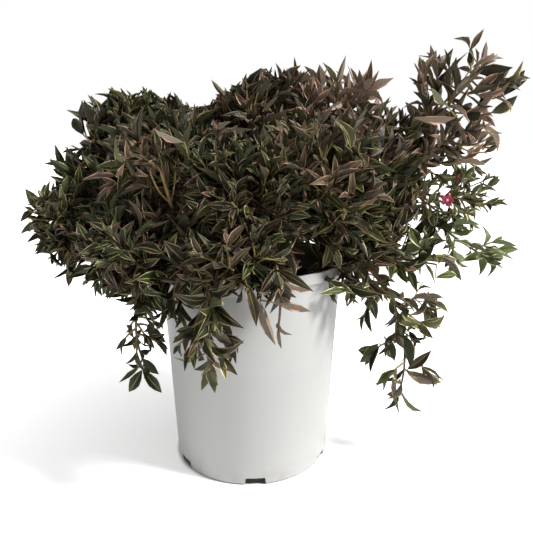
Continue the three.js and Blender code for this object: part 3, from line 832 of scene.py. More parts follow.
# %% Woody limbs
def limbs_mesh():
    bm = bmesh.new()
    verts = grow_limb(bm, foot_line, foot_radius, 40, 26)
    for v in verts:
        height = (v.co.z - foot_base[2]) / foot_height
        lobe = 1 + 0.16 * math.exp(-height * 4) * math.cos(5 * math.atan2(v.co.y, v.co.x))
        v.co.x *= lobe
        v.co.y *= lobe
    raise_bark(bm, verts, foot_line, 0.0016)
    for mass in masses:
        verts = grow_limb(bm, mass.bough, mass.bough_radius, 12, 24)
        raise_bark(bm, verts, mass.bough, 0.0005)
    bmesh.ops.recalc_face_normals(bm, faces=bm.faces)
    return mesh_from("woody_limbs", bm, sharp=80)


bark_finish = grained("bark", (0.20, 0.125, 0.065), (0.07, 0.045, 0.028), 0.85, 130, (0.6, 0.0008),
                      stretch=(1, 1, 0.35))
limb_nodes = ["foot"] + [f"bough_{mass.name}" for mass in masses]
piece("woody_limbs", limbs_mesh(), [bark_finish], limb_nodes)

# %% [markdown]
# At the left a stem was once pruned. It shows in a hollow of the crown: a pale stub, cut off flat, with
# three thin side shoots that grew from below the cut.

# %% Pruned stem
stub_low = np.array([-0.0764, -0.085, 0.305])
stub_fork = np.array([-0.0815, -0.088, 0.3214])
nearest = min((point for mass in masses for point in mass.bough), key=lambda p: np.linalg.norm(p - stub_low))
stub_parts = [  # the line of each part, its radii at both ends, and its facets
    (line_of(nearest, stub_low, stub_fork), 0.0020, 0.0019, 12),
    (line_of(stub_fork - (0, 0, 0.002), (-0.0850, -0.089, 0.336), (-0.0897, -0.088, 0.3526)), 0.0019, 0.0016, 12),
    (line_of(stub_fork, (-0.0950, -0.094, 0.330), (-0.1034, -0.088, 0.3625)), 0.0011, 0.0007, 8),
    (line_of(stub_fork, (-0.0745, -0.090, 0.338), (-0.0754, -0.084, 0.3654)), 0.0009, 0.0005, 8),
    (line_of((-0.0752, -0.088, 0.3416), (-0.0700, -0.090, 0.345), (-0.0621, -0.084, 0.3636)), 0.0007, 0.0005, 8),
]


def stub_mesh():
    bm = bmesh.new()
    for line, low, high, facets in stub_parts:
        verts = grow_limb(bm, line, lambda share: low + (high - low) * share, facets, 16)
        raise_bark(bm, verts, line, 0.0003)
    bmesh.ops.recalc_face_normals(bm, faces=bm.faces)
    return mesh_from("pruned_stem", bm, sharp=60)


pale_bark = grained("pale_bark", (0.50, 0.35, 0.15), (0.32, 0.21, 0.09), 0.75, 160, (0.4, 0.0005))
piece("pruned_stem", stub_mesh(), [pale_bark], [])

# %% [markdown]
# ## Room to grow
# Twigs and leaves keep out of the pot and the mix and clear of the limbs. An open mass stays inside its
# own ellipsoid. The full masses make one crown: each ellipsoid has a field that fades outwards, and
# where the fields of neighbours add up, leaves may fill the groove between them. A few hollows stay
# empty: they show a pruned stem, the mix, the flower, and the dark inside of the crown.

# %% Tests for room
past_plane = 0.022  # how far a leaf may reach into its neighbour's half
limb_room = 0.0026
field_edge = 2.2
full_masses = [mass for mass in masses if mass.is_full]
full_middles = np.array([mass.middle for mass in full_masses])
full_halves = np.array([mass.half for mass in full_masses])
for mass in masses:
    others = [other for other in masses if other is not mass]
    gaps = np.array([other.middle - mass.middle for other in others])
    apart = np.linalg.norm(gaps, axis=1)
    mass.plane_ways = gaps / apart[:, None]
    shares = [(d + reach(mass, w) - reach(o, w)) / 2 for o, d, w in zip(others, apart, mass.plane_ways)]
    mass.plane_limits = mass.plane_ways @ mass.middle + shares


def in_space(mass, points, bound):
    """Whether points keep to a mass, with its ellipsoid's radius multiplied by a bound, if it has one."""
    if bound is None:
        return True
    own = (((points - mass.middle) / mass.half) ** 2).sum(axis=1)
    if not mass.is_full or bound == proud_bound:
        return bool((own < bound * bound).all())
    each = (((points[:, None] - full_middles) / full_halves) ** 2).sum(axis=2)
    field = (np.clip(field_edge - each, 0, None) ** 2).sum(axis=1)
    before_planes = (points @ mass.plane_ways.T < mass.plane_limits + past_plane).all(axis=1)
    return bool(((own < 1.7) & before_planes & (field > (field_edge - bound * bound) ** 2)).all())


hollows = np.array([  # middle, radius, and how much deeper than wide
    (-0.087, -0.098, 0.337, 0.021, 1),  # at the pruned stem
    (-0.083, -0.128, 0.334, 0.017, 1),
    (0.053, -0.140, 0.277, 0.015, 1),  # over the mix
    (0.057, -0.100, 0.269, 0.019, 1),
    (0.061, -0.060, 0.261, 0.019, 1),
    (0.219, -0.048, 0.319, 0.014, 2),  # at the flower and its bud
    (0.232, -0.036, 0.341, 0.008, 1),
    (0.008, -0.130, 0.325, 0.014, 1),  # gaps between sprays
    (-0.120, -0.100, 0.300, 0.013, 1),
    (0.060, -0.120, 0.335, 0.011, 1),
    (-0.066, 0.060, 0.450, 0.026, 6),  # dips in the outline
    (-0.030, 0.060, 0.471, 0.028, 6),
    (-0.004, 0.060, 0.481, 0.025, 6),
    (-0.145, 0.020, 0.460, 0.023, 4),
    (-0.210, 0.005, 0.392, 0.016, 5),
    (-0.193, -0.010, 0.238, 0.012, 5),
    (-0.170, -0.090, 0.257, 0.011, 4),
    (-0.254, -0.010, 0.344, 0.019, 2),
    (-0.271, -0.010, 0.232, 0.024, 2),
    (0.286, 0.000, 0.503, 0.024, 2),
    (0.318, 0.000, 0.424, 0.026, 2),
    (0.174, -0.020, 0.050, 0.018, 1),
    (0.133, -0.030, 0.259, 0.005, 9),  # chinks of sky at the right
    (0.170, -0.030, 0.273, 0.006, 9),
    (0.151, -0.030, 0.233, 0.007, 9),
    (0.182, -0.030, 0.216, 0.011, 6),
    (0.209, -0.030, 0.243, 0.010, 6),
    (0.225, -0.030, 0.262, 0.010, 6),
    (0.233, -0.030, 0.214, 0.014, 4),
    (0.122, -0.030, 0.204, 0.009, 6),
    (0.157, -0.030, 0.176, 0.007, 6),
    (0.172, 0.000, 0.407, 0.007, 9),
    (0.162, 0.000, 0.389, 0.006, 9),
    (0.188, 0.000, 0.384, 0.008, 9),
    (0.220, 0.000, 0.350, 0.006, 9),
    (-0.001, -0.150, 0.216, 0.014, 2),  # over the front of the pot
    (0.029, -0.150, 0.214, 0.012, 2),
    (0.040, -0.150, 0.239, 0.008, 2),
])


def clear_of_hollows(points):
    apart = points[:, None] - hollows[:, :3]
    apart[:, :, 1] /= hollows[:, 4]
    return bool((np.linalg.norm(apart, axis=2) > hollows[:, 3]).all())


def clear_of_pot(points, room):
    out = np.hypot(points[:, 0], points[:, 1])
    above_mix = (out < shoulder_radius - wall - room) & (points[:, 2] > soil_level + room)
    return bool(((points[:, 2] > pot_height + room) | (out > rim_radius + room) | above_mix).all())


def clear_of_limbs(points, room):
    ways = spans[:, 1] - spans[:, 0]
    along = ((points[:, None] - spans[:, 0]) * ways).sum(axis=2) / (ways ** 2).sum(axis=1)
    nearest = spans[:, 0] + ways * np.clip(along, 0, 1)[:, :, None]
    return bool((np.linalg.norm(points[:, None] - nearest, axis=2) > limb_room + room).all())


def is_free(mass, points, room, bound):
    return (in_space(mass, points, bound) and clear_of_hollows(points)
            and clear_of_pot(points, room) and clear_of_limbs(points, room))


# %% [markdown]
# ## Twigs
# One stem runs on from the bough's tip through the mass. Shoots leave it for points that a golden
# spiral spreads over the outside of the mass, some of them deep and some standing proud, so that the
# crown is shaggy and not a ball. Sprigs leave the shoots in pairs. Every twig bends to the light, or
# hangs, and one that would leave its room doesn't grow.

# %% Stems and shoots
core = np.array([-0.015, 0.015, 0.290])
twigs = []


class Twig:
    """A stem, shoot or sprig: its line, its radii at both ends, its age and its own bound.

    A bough is one too while leaves are set on it. It has no radii here, as it has its own mesh."""

    def __init__(self, mass, line, radii, age, bound):
        self.mass = mass
        self.line = line
        self.radii = radii
        self.age = age
        self.bound = bound
        self.length = float(np.linalg.norm(np.diff(line, axis=0), axis=1).sum())
        if radii:
            twigs.append(self)


def grow_stem(mass):
    start = mass.bough[-1]
    tip = mass.middle * 1.5 - start * 0.5
    bend = start + mass.enter * np.linalg.norm(tip - start) / 2
    return Twig(mass, line_of(start - mass.enter * 0.001, bend, tip), (bough_tip_radius, 0.0011), 2, 1.06)


def shoot_line(mass, stem, tip, bound):
    """A shoot's line from the stem to its tip, or None where it isn't free. Low ones hang a little."""
    first, last = stem.line[0], stem.line[-1]
    chord = last - first
    nearest = np.clip((tip - first) @ chord / (chord @ chord), 0, 1)
    beside = np.linalg.norm(first + chord * nearest - tip)
    root = at(stem.line, float(np.clip(nearest - 0.6 * beside / np.linalg.norm(chord), 0.06, 0.95)))
    length = np.linalg.norm(tip - root)
    if length < 0.014:
        return None
    low = tip[2] < mass.middle[2] - 0.55 * mass.half[2]
    bend = (root + tip) / 2 - up * 0.48 * (-0.25 if low else mass.rise) * length
    line = line_of(root, bend, tip)
    return line if is_free(mass, line[6::6], 0.001, bound) else None


def grow_proud_shoots(mass, stem):
    """The named shoots of a mass."""
    lines = [shoot_line(mass, stem, np.array(tip), proud_bound) for tip in proud_shoots.get(mass.name, ())]
    return [Twig(mass, line, (0.0014, 0.0009), 1, proud_bound) for line in lines if line is not None]


def grow_shoots(mass, stem, tries, apart, tip_reach, roll, known=()):
    """Shoots whose tips lie spread over the outside of the mass."""
    out = unit(mass.middle - core)
    shoots = list(known)
    for i in range(tries):
        height = 1 - 2 * (i + 0.5) / tries
        bearing = i * golden_angle + mass.seed
        ring = math.sqrt(1 - height * height)
        towards = np.array([ring * math.cos(bearing), ring * math.sin(bearing), height])
        share = tip_reach[0] + (tip_reach[1] - tip_reach[0]) * next(roll)
        bound = mass.bounds[0] + (mass.bounds[1] - mass.bounds[0]) * next(roll) ** 1.3
        if (mass.is_full and towards @ out < -0.35) or (mass.light == -1 and height < -0.3):
            continue
        outward = towards * mass.half
        while share > 0.27 and not is_free(mass, (mass.middle + outward * share)[None], 0.005, bound):
            share -= 0.07
        line = shoot_line(mass, stem, mass.middle + outward * share, bound)
        if line is None or any(np.linalg.norm(other.line[-1] - line[-1]) < apart for other in shoots):
            continue
        shoots.append(Twig(mass, line, (0.0014, 0.0009), 1, bound))
    return shoots[len(known):]


# %% Sprigs
sprig_angle = math.radians(42)
sprig_length = 0.028


def side_of(direction, spin):
    """A unit vector square to a direction, turned round it by an angle."""
    level = np.cross(direction, up)
    level = unit(level) if np.linalg.norm(level) > 1e-3 else np.array([1.0, 0.0, 0.0])
    return level * math.cos(spin) + np.cross(direction, level) * math.sin(spin)


def grow_sprigs(parent, places, roll):
    """Pairs of sprigs, each pair turned a quarter from the last, shorter towards the parent's tip."""
    mass = parent.mass
    spin = next(roll) * math.pi
    sprigs = []
    for k, place in enumerate(places):
        node_at, along = at(parent.line, place), heading(parent.line, place)
        for hand in (-1, 1):
            side = side_of(along, spin + k * math.pi / 2) * hand
            length = sprig_length * (0.7 + 0.6 * next(roll)) * (1.25 - 0.5 * place)
            angle = sprig_angle * (0.8 + 0.4 * next(roll))
            way = along * math.cos(angle) + side * math.sin(angle)
            tip = node_at + unit(way + up * 0.35 * mass.light) * length
            bend = node_at + way * length * 0.5
            line = line_of(node_at, bend, tip)
            if is_free(mass, line[8::8], 0.001, parent.bound):
                sprigs.append(Twig(mass, line, (0.0009, 0.0007), 0, parent.bound))
    return sprigs


# %% [markdown]
# ## A leaf
# The leaf is a grid of a few faces, drawn out to a point at both ends. Its outer strips are the
# pale edge and its middle strip the rib, each with a finish of its own, and its underside is a coarser
# grid that meets it at the rim. A handful of such shapes, some arched, some folded or curled, is enough:
# each copy gets its own size, width and turn.

# %% Leaf shapes
leaf_width = 0.29
row_places = (0.0, 0.09, 0.26, 0.48, 0.71, 0.89, 1.0)
leaf_thickness = 0.014
rib_width = 0.09


def outline(v):
    """Half the leaf's width at a share of its length: an ellipse with both ends drawn out."""
    return math.sin(math.pi * v ** 0.92) ** 1.05 if 0 < v < 1 else 0.0


def leaf_point(u, v, form):
    """A point of a leaf from its place across (-1 to 1) and along (0 to 1)."""
    y = u * outline(v) * leaf_width / 2
    z = form["arch"] * 4 * v * (1 - v) - form["curl"] * v ** 2.4 + form["fold"] * abs(y)
    z += form["wave"] * abs(u) * outline(v) * math.sin(9 * v + 2 * u)
    turn = form["twist"] * v
    sway = form["sway"] * math.sin(math.pi * v)
    return Vector((v * (1 - form["curl"] * 0.35 * v), y * math.cos(turn) + sway, z + y * math.sin(turn)))


def leaf_side(bm, flow, strips, form, drop):
    """One side of a leaf: a grid whose columns lie at the strips. Returns its faces."""
    columns = len(strips) - 1
    made = bmesh.ops.create_grid(bm, x_segments=len(row_places) - 1, y_segments=columns, size=1)["verts"]
    places = {}
    for v in made:
        along = row_places[round((v.co.x + 1) / 2 * (len(row_places) - 1))]
        across = strips[round((v.co.y + 1) / 2 * columns)]
        places[v] = (across, along)
        v.co = leaf_point(across, along, form)
        if abs(across) < 1 and 0 < along < 1:
            v.co.z -= drop
    faces = list({face for v in made for face in v.link_faces})
    for face in faces:
        for loop in face.loops:
            loop[flow].uv = places[loop.vert]
    return faces, places


def leaf_shape(form, margin):
    """A closed leaf: blade (slot 0), pale edge (1), rib (2) and underside (3)."""
    bm = bmesh.new()
    flow = bm.loops.layers.uv.new("flow")
    top, places = leaf_side(bm, flow, (-1.0, -margin, -rib_width, rib_width, margin, 1.0), form, 0.0)
    for face in top:
        furthest = max(abs(places[v][0]) for v in face.verts)
        face.material_index = 1 if furthest == 1.0 else 2 if furthest == rib_width else 0
    under, _ = leaf_side(bm, flow, (-1.0, 0.0, 1.0), form, leaf_thickness)
    for face in under:
        face.material_index = 3
    bmesh.ops.reverse_faces(bm, faces=under)
    bmesh.ops.remove_doubles(bm, verts=bm.verts, dist=1e-5)
    shape = arrays_of(bm)
    bm.free()
    return shape


leaf_forms = {
    "young": [
        dict(arch=0.03, curl=-0.06, fold=0.90, wave=0.0, twist=0.0, sway=0.01),
        dict(arch=0.02, curl=0.04, fold=1.10, wave=0.01, twist=0.3, sway=-0.02),
        dict(arch=0.04, curl=0.10, fold=0.75, wave=0.01, twist=-0.4, sway=0.03),
    ],
    "grown": [
        dict(arch=0.06, curl=0.14, fold=0.60, wave=0.02, twist=0.3, sway=0.02),
        dict(arch=0.08, curl=0.26, fold=0.80, wave=0.03, twist=-0.4, sway=-0.03),
        dict(arch=0.05, curl=0.04, fold=0.40, wave=0.03, twist=0.6, sway=0.03),
        dict(arch=0.02, curl=-0.10, fold=0.70, wave=0.02, twist=-0.2, sway=-0.03),
    ],
    "old": [
        dict(arch=0.10, curl=0.36, fold=0.45, wave=0.03, twist=-0.6, sway=0.04),
        dict(arch=0.08, curl=0.24, fold=0.25, wave=0.04, twist=0.7, sway=-0.03),
        dict(arch=0.12, curl=0.10, fold=0.55, wave=0.03, twist=0.3, sway=0.03),
    ],
}
margins = {"fine": 0.86, "broad": 0.70}
leaf_shapes = {
    (age, i, width): leaf_shape(form, margin)
    for age, forms in leaf_forms.items()
    for i, form in enumerate(forms)
    for width, margin in margins.items()
}
print(len(leaf_shapes), "leaf shapes of", len(next(iter(leaf_shapes.values()))["sizes"]), "faces")

# %% [markdown]
# ## Leaf colours
# The plant turns its colours by spray: purplish bronze where it stands in the sun, dark green in the
# shade, and fresh green on its youngest low shoots, with edges from salmon to cream. The palettes also
# paint light and shade over the crown: masses on the lit top and right and on the arm draw lighter tones,
# those on the shaded left darker ones, and low sprays and older leaves of full masses out of the full
# light often draw the dark shade tones. So a tone is partly the leaf's own colour and partly painted
# highlight and painted shade. Each spray draws a tone from the palette of its mass, and each tone is four
# plain finishes: blade, edge, rib and underside. The relief of the veins is a node group that all of them
# share, and it reads the leaf's own map.


# %% The leaf relief group
def build_leaf_relief():
    """Side veins and a midrib from the leaf's map, as a height, and an uneven roughness."""
    tree, start, end = new_group(
        "leaf_relief",
        {"Roughness": ("Float", 0.5), "Vein depth": ("Float", 1.0)},
        {"Roughness": "Float", "Height": "Float"},
    )
    flow = node(tree, "UVMap", uv_map="flow")
    split = node(tree, "SeparateXYZ")
    tree.links.new(flow.outputs["UV"], split.inputs[0])
    across = node(tree, "Math", operation="ABSOLUTE")
    tree.links.new(split.outputs["X"], across.inputs[0])
    slant = node(tree, "Math", {1: -0.22}, operation="MULTIPLY_ADD")
    tree.links.new(across.outputs[0], slant.inputs[0])
    tree.links.new(split.outputs["Y"], slant.inputs[2])
    beat = node(tree, "Math", {1: 52.0}, operation="MULTIPLY")
    tree.links.new(slant.outputs[0], beat.inputs[0])
    veins = node(tree, "Math", operation="SINE")
    tree.links.new(beat.outputs[0], veins.inputs[0])
    rib = node(tree, "MapRange", {"From Min": 0.0, "From Max": 0.12, "To Min": -2.0, "To Max": 0.0})
    tree.links.new(across.outputs[0], rib.inputs["Value"])
    both = node(tree, "Math", operation="ADD")
    tree.links.new(veins.outputs[0], both.inputs[0])
    tree.links.new(rib.outputs["Result"], both.inputs[1])
    deep = node(tree, "Math", operation="MULTIPLY")
    tree.links.new(both.outputs[0], deep.inputs[0])
    tree.links.new(start.outputs["Vein depth"], deep.inputs[1])
    tree.links.new(deep.outputs[0], end.inputs["Height"])
    place = node(tree, "TexCoord")
    patches = node(tree, "TexNoise", {"Scale": 240.0, "Detail": 2.0})
    tree.links.new(place.outputs["Object"], patches.inputs["Vector"])
    uneven = node(tree, "Math", {1: 0.3}, operation="MULTIPLY_ADD")
    tree.links.new(patches.outputs["Fac"], uneven.inputs[0])
    tree.links.new(start.outputs["Roughness"], uneven.inputs[2])
    tree.links.new(uneven.outputs[0], end.inputs["Roughness"])
    return tree


leaf_relief = build_leaf_relief()
leaf_gloss = 0.25


def leaf_finish(name, colour, roughness, veins):
    made = material(name, colour, roughness)
    tree = made.node_tree
    shader = tree.nodes["Principled BSDF"]
    shader.inputs["Specular IOR Level"].default_value = leaf_gloss
    group = use_group(tree, leaf_relief, {"Roughness": roughness - 0.15, "Vein depth": veins})
    relief = node(tree, "Bump", {"Strength": 0.5, "Distance": 0.0002})
    tree.links.new(group.outputs["Roughness"], shader.inputs["Roughness"])
    tree.links.new(group.outputs["Height"], relief.inputs["Height"])
    tree.links.new(relief.outputs["Normal"], shader.inputs["Normal"])
    return made


# %% Tones and palettes
salmon, rose, buff, cream = (0.78, 0.44, 0.32), (0.42, 0.26, 0.17), (0.56, 0.46, 0.25), (0.82, 0.74, 0.44)
tan_rib, green_rib = (0.22, 0.17, 0.065), (0.22, 0.24, 0.07)
tones = {
    "bronze": ((0.048, 0.036, 0.018), rose, tan_rib, (0.095, 0.078, 0.050), "fine"),
    "umber": ((0.098, 0.072, 0.038), salmon, tan_rib, (0.165, 0.133, 0.088), "fine"),
    "dusky": ((0.215, 0.163, 0.118), salmon, tan_rib, (0.230, 0.185, 0.140), "fine"),
    "blush": ((0.215, 0.150, 0.103), salmon, tan_rib, (0.215, 0.160, 0.112), "broad"),
    "rosy": ((0.310, 0.232, 0.170), salmon, tan_rib, (0.310, 0.250, 0.188), "fine"),
    "nightshade": ((0.017, 0.018, 0.009), rose, tan_rib, (0.048, 0.048, 0.029), "fine"),
    "dark_green": ((0.023, 0.030, 0.011), buff, green_rib, (0.056, 0.065, 0.032), "fine"),
    "olive": ((0.057, 0.056, 0.017), buff, green_rib, (0.092, 0.094, 0.045), "fine"),
    "moss": ((0.072, 0.082, 0.028), cream, green_rib, (0.140, 0.160, 0.080), "broad"),
    "fresh": ((0.112, 0.154, 0.046), cream, green_rib, (0.190, 0.240, 0.100), "fine"),
    "straw": ((0.170, 0.160, 0.045), cream, green_rib, (0.220, 0.215, 0.092), "broad"),
}
# sunny and sunlit hold lighter tones for the masses in the lamp's light, dim and shade darker ones for those in
# shade: painted highlight and painted shade, besides the leaves' own colour
palettes = {
    "bronze": dict(bronze=6, umber=3, nightshade=4, dark_green=2, olive=2, blush=1),
    "dusky": dict(dusky=6, umber=4, bronze=2, nightshade=1, olive=1, blush=2),
    "sunny": dict(dusky=4, blush=3, umber=4, bronze=4, nightshade=2, olive=2, straw=1),
    "sunlit": dict(rosy=6, dusky=3, blush=6, umber=2, straw=2, moss=1),
    "dim": dict(nightshade=5, dark_green=4, bronze=4, umber=1, olive=2),
    "olive": dict(dark_green=4, nightshade=3, olive=3, bronze=4, umber=1),
    "mixed": dict(bronze=3, umber=4, olive=4, dark_green=2, nightshade=2, dusky=3),
    "green": dict(dark_green=4, moss=3, olive=4, nightshade=1, bronze=3, umber=1),
    "cream": dict(moss=6, straw=2, olive=3, dark_green=2, umber=3),
    "trail": dict(dark_green=5, olive=3, moss=1, bronze=4, nightshade=2),
    "fresh": dict(fresh=5, moss=3, dark_green=1),
    "shade": dict(nightshade=5, dark_green=5, olive=1, bronze=2),
}
shade_tones = [list(tones).index(tone) for tone in ("nightshade", "dark_green", "olive", "moss")]
young_tones = {"straw": 3, "umber": 3, "olive": 1, "blush": 2}
tone_names = list(tones)
parts_of_leaf = (("blade", 0.42, 1.0), ("edge", 0.5, 0.2), ("rib", 0.5, 0.0), ("underside", 0.7, -1.0))
leaf_finishes = [
    leaf_finish(f"{tone}_{part}", colour, roughness, veins)
    for tone, look in tones.items()
    for colour, (part, roughness, veins) in zip(look, parts_of_leaf)
]


def draw(weights, roll):
    """A tone's number, drawn by weights."""
    spot = next(roll) * sum(weights.values())
    for tone, weight in weights.items():
        spot -= weight
        if spot <= 0:
            break
    return tone_names.index(tone)


def spray_tone(shoot, roll):
    """The tone of a spray: that of its mass, or, in a full mass, a dark shade tone, the likelier the lower its tip
    lies; partly painted shade.
    """
    # painted shade, partly: the lower a spray's tip, the likelier it draws the dark shade tones
    depth = 0.80 - (shoot.line[-1][2] - 0.25) / 0.16
    shaded = shoot.mass.is_full and next(roll) < min(max(depth, 0.08), 0.7)
    return draw(palettes["shade" if shaded else shoot.mass.palette], roll)


# %% [markdown]
# ## Leaves on twigs
# Leaves stand in opposite pairs, each pair turned a quarter from the last. The youngest, at the tip,
# are short, folded and nearly upright. Older ones are longer, lean out and curl down. A leaf turns its
# upper side to the twig's tip and to the light, and one that would leave its room is left out.

# %% Growing leaves
leaves = []
node_gaps = (0.0, 0.004, 0.010, 0.021, 0.036, 0.052, 0.068)  # from the tip down to each pair


def leaf_age(from_tip):
    """Age, share of full length, and angle to the twig, of the pair that many places from the tip."""
    table = (("young", 0.45, 14), ("young", 0.82, 28), ("grown", 1.0, 42), ("grown", 1.05, 52))
    return table[from_tip] if from_tip < len(table) else ("old", 1.0, 62)


def grow_pairs(twig, first, tone, roll, oldest=0):
    """Pairs of leaves down a twig, from its tip to a share of its length."""
    mass = twig.mass
    spin = next(roll) * math.pi
    for k, gap in enumerate(node_gaps):
        place = 1 - gap * mass.spacing * (0.8 + 0.4 * next(roll)) / twig.length
        if place < first and k > 1:
            break
        node_at, along = at(twig.line, place), heading(twig.line, place)
        age, size, angle = leaf_age(k + oldest)
        for hand in (0, 1):
            side = side_of(along, spin + k * math.pi / 2 + hand * math.pi + 0.9 * (next(roll) - 0.5))
            full_length = mass.leaf * size * (0.62 + 0.58 * next(roll))
            tilt = math.radians(angle * (0.6 + 0.75 * next(roll)))
            twist = 1.9 * (next(roll) - 0.5)
            # older leaves of a full mass out of the full light may draw the dark shade tones: partly their age,
            # partly painted shade
            aged_in_shade = mass.light < 1 and mass.is_full and k > 2 and next(roll) < 0.35
            shade = tone if next(roll) < 0.6 else draw(palettes["shade" if aged_in_shade else mass.palette], roll)
            if k + oldest == 0 and next(roll) < 0.45:
                shade = draw(young_tones, roll)
            width = (0.52 if mass.is_full else 0.75) + 0.5 * next(roll) + (0.25 if shade in shade_tones else 0.0)
            form = int(next(roll) * len(leaf_forms[age]))
            for smaller, turn in ((1, 0), (0.85, -0.3), (0.85, 0.3), (0.7, -0.5), (0.6, 0)):
                leaf = aim_leaf(mass, node_at, along, side, tilt + turn, twist, full_length * smaller)
                if leaf_fits(mass, leaf, twig.bound):
                    leaves.append(dict(leaf, age=age, form=form, tone=shade, width=width, mass=mass))
                    break


def aim_leaf(mass, node_at, along, side, tilt, twist, length):
    """A leaf's root, its direction, its upper side and its length. Leaves low on the crown hang."""
    lowness = max(0.0, -unit(node_at - core)[2])
    sag = 0.15 * mass.rise - 0.12 * math.sin(tilt) - (0.45 if mass.is_full else 0.15) * lowness
    way = unit(along * math.cos(tilt) + side * math.sin(tilt) + up * sag)
    face = along * math.sin(tilt) - side * math.cos(tilt) + up * 0.45
    face = unit(face - way * (face @ way))
    face = face * math.cos(twist) + np.cross(way, face) * math.sin(twist)
    return dict(root=node_at, way=way, face=face, length=length)


def leaf_fits(mass, leaf, bound):
    points = leaf["root"] + leaf["way"] * np.array([[0.4], [0.7], [1.0]]) * leaf["length"]
    return is_free(mass, points, 0.001, bound)


# %% Grow every mass
def grow_full(mass, roll):
    """Shoots wherever there is room, first wide apart and then closer, with two pairs of sprigs each."""
    stem = grow_stem(mass)
    shoots = grow_proud_shoots(mass, stem)
    shoots += grow_shoots(mass, stem, 31, 0.034, (0.42, 0.75), roll, known=shoots)
    shoots += grow_shoots(mass, stem, 59, 0.026, (0.40, 0.92), roll, known=shoots)
    for shoot in shoots:
        tone = spray_tone(shoot, roll)
        grow_pairs(shoot, 0.2, tone, roll)
        for sprig in grow_sprigs(shoot, (0.36, 0.62), roll):
            grow_pairs(sprig, 0.25, tone, roll)
    grow_pairs(stem, 0.2, spray_tone(stem, roll), roll)


def grow_open(mass, roll):
    """A few leafy shoots, some with one pair of sprigs, and leaves on the stem and its bough too."""
    stem = grow_stem(mass)
    proud = grow_proud_shoots(mass, stem)
    for shoot in proud + grow_shoots(mass, stem, mass.shoots, 0.016, (0.50, 0.88), roll, known=proud):
        tone = spray_tone(shoot, roll)
        grow_pairs(shoot, 0.2, tone, roll)
        if mass.light > -1 and next(roll) < 0.5:
            for sprig in grow_sprigs(shoot, (0.5,), roll):
                grow_pairs(sprig, 0.25, tone, roll)
    grow_pairs(stem, 0.2, spray_tone(stem, roll), roll, oldest=2 if mass.light < 0 else 0)
    bough = Twig(mass, mass.bough, None, None, None)
    grow_pairs(bough, 0.4, spray_tone(bough, roll), roll, oldest=3)
    for sprig in grow_sprigs(bough, (0.66, 0.9), roll):
        grow_pairs(sprig, 0.2, spray_tone(sprig, roll), roll)


for mass in masses:
    before = len(leaves)
    (grow_full if mass.is_full else grow_open)(mass, dice(mass.seed))
    print(mass.name, len(leaves) - before, "leaves")
print(len(twigs), "twigs and", len(leaves), "leaves")

# %% [markdown]
# Last come the leaves that stand clear of the rest, on the arm and under the rim, and two that catch the
# eye on the crown. A row gives the mass, the leaf's root and tip, its tone and width, and whether its
# upper side (1) or its underside (-1) faces the front.

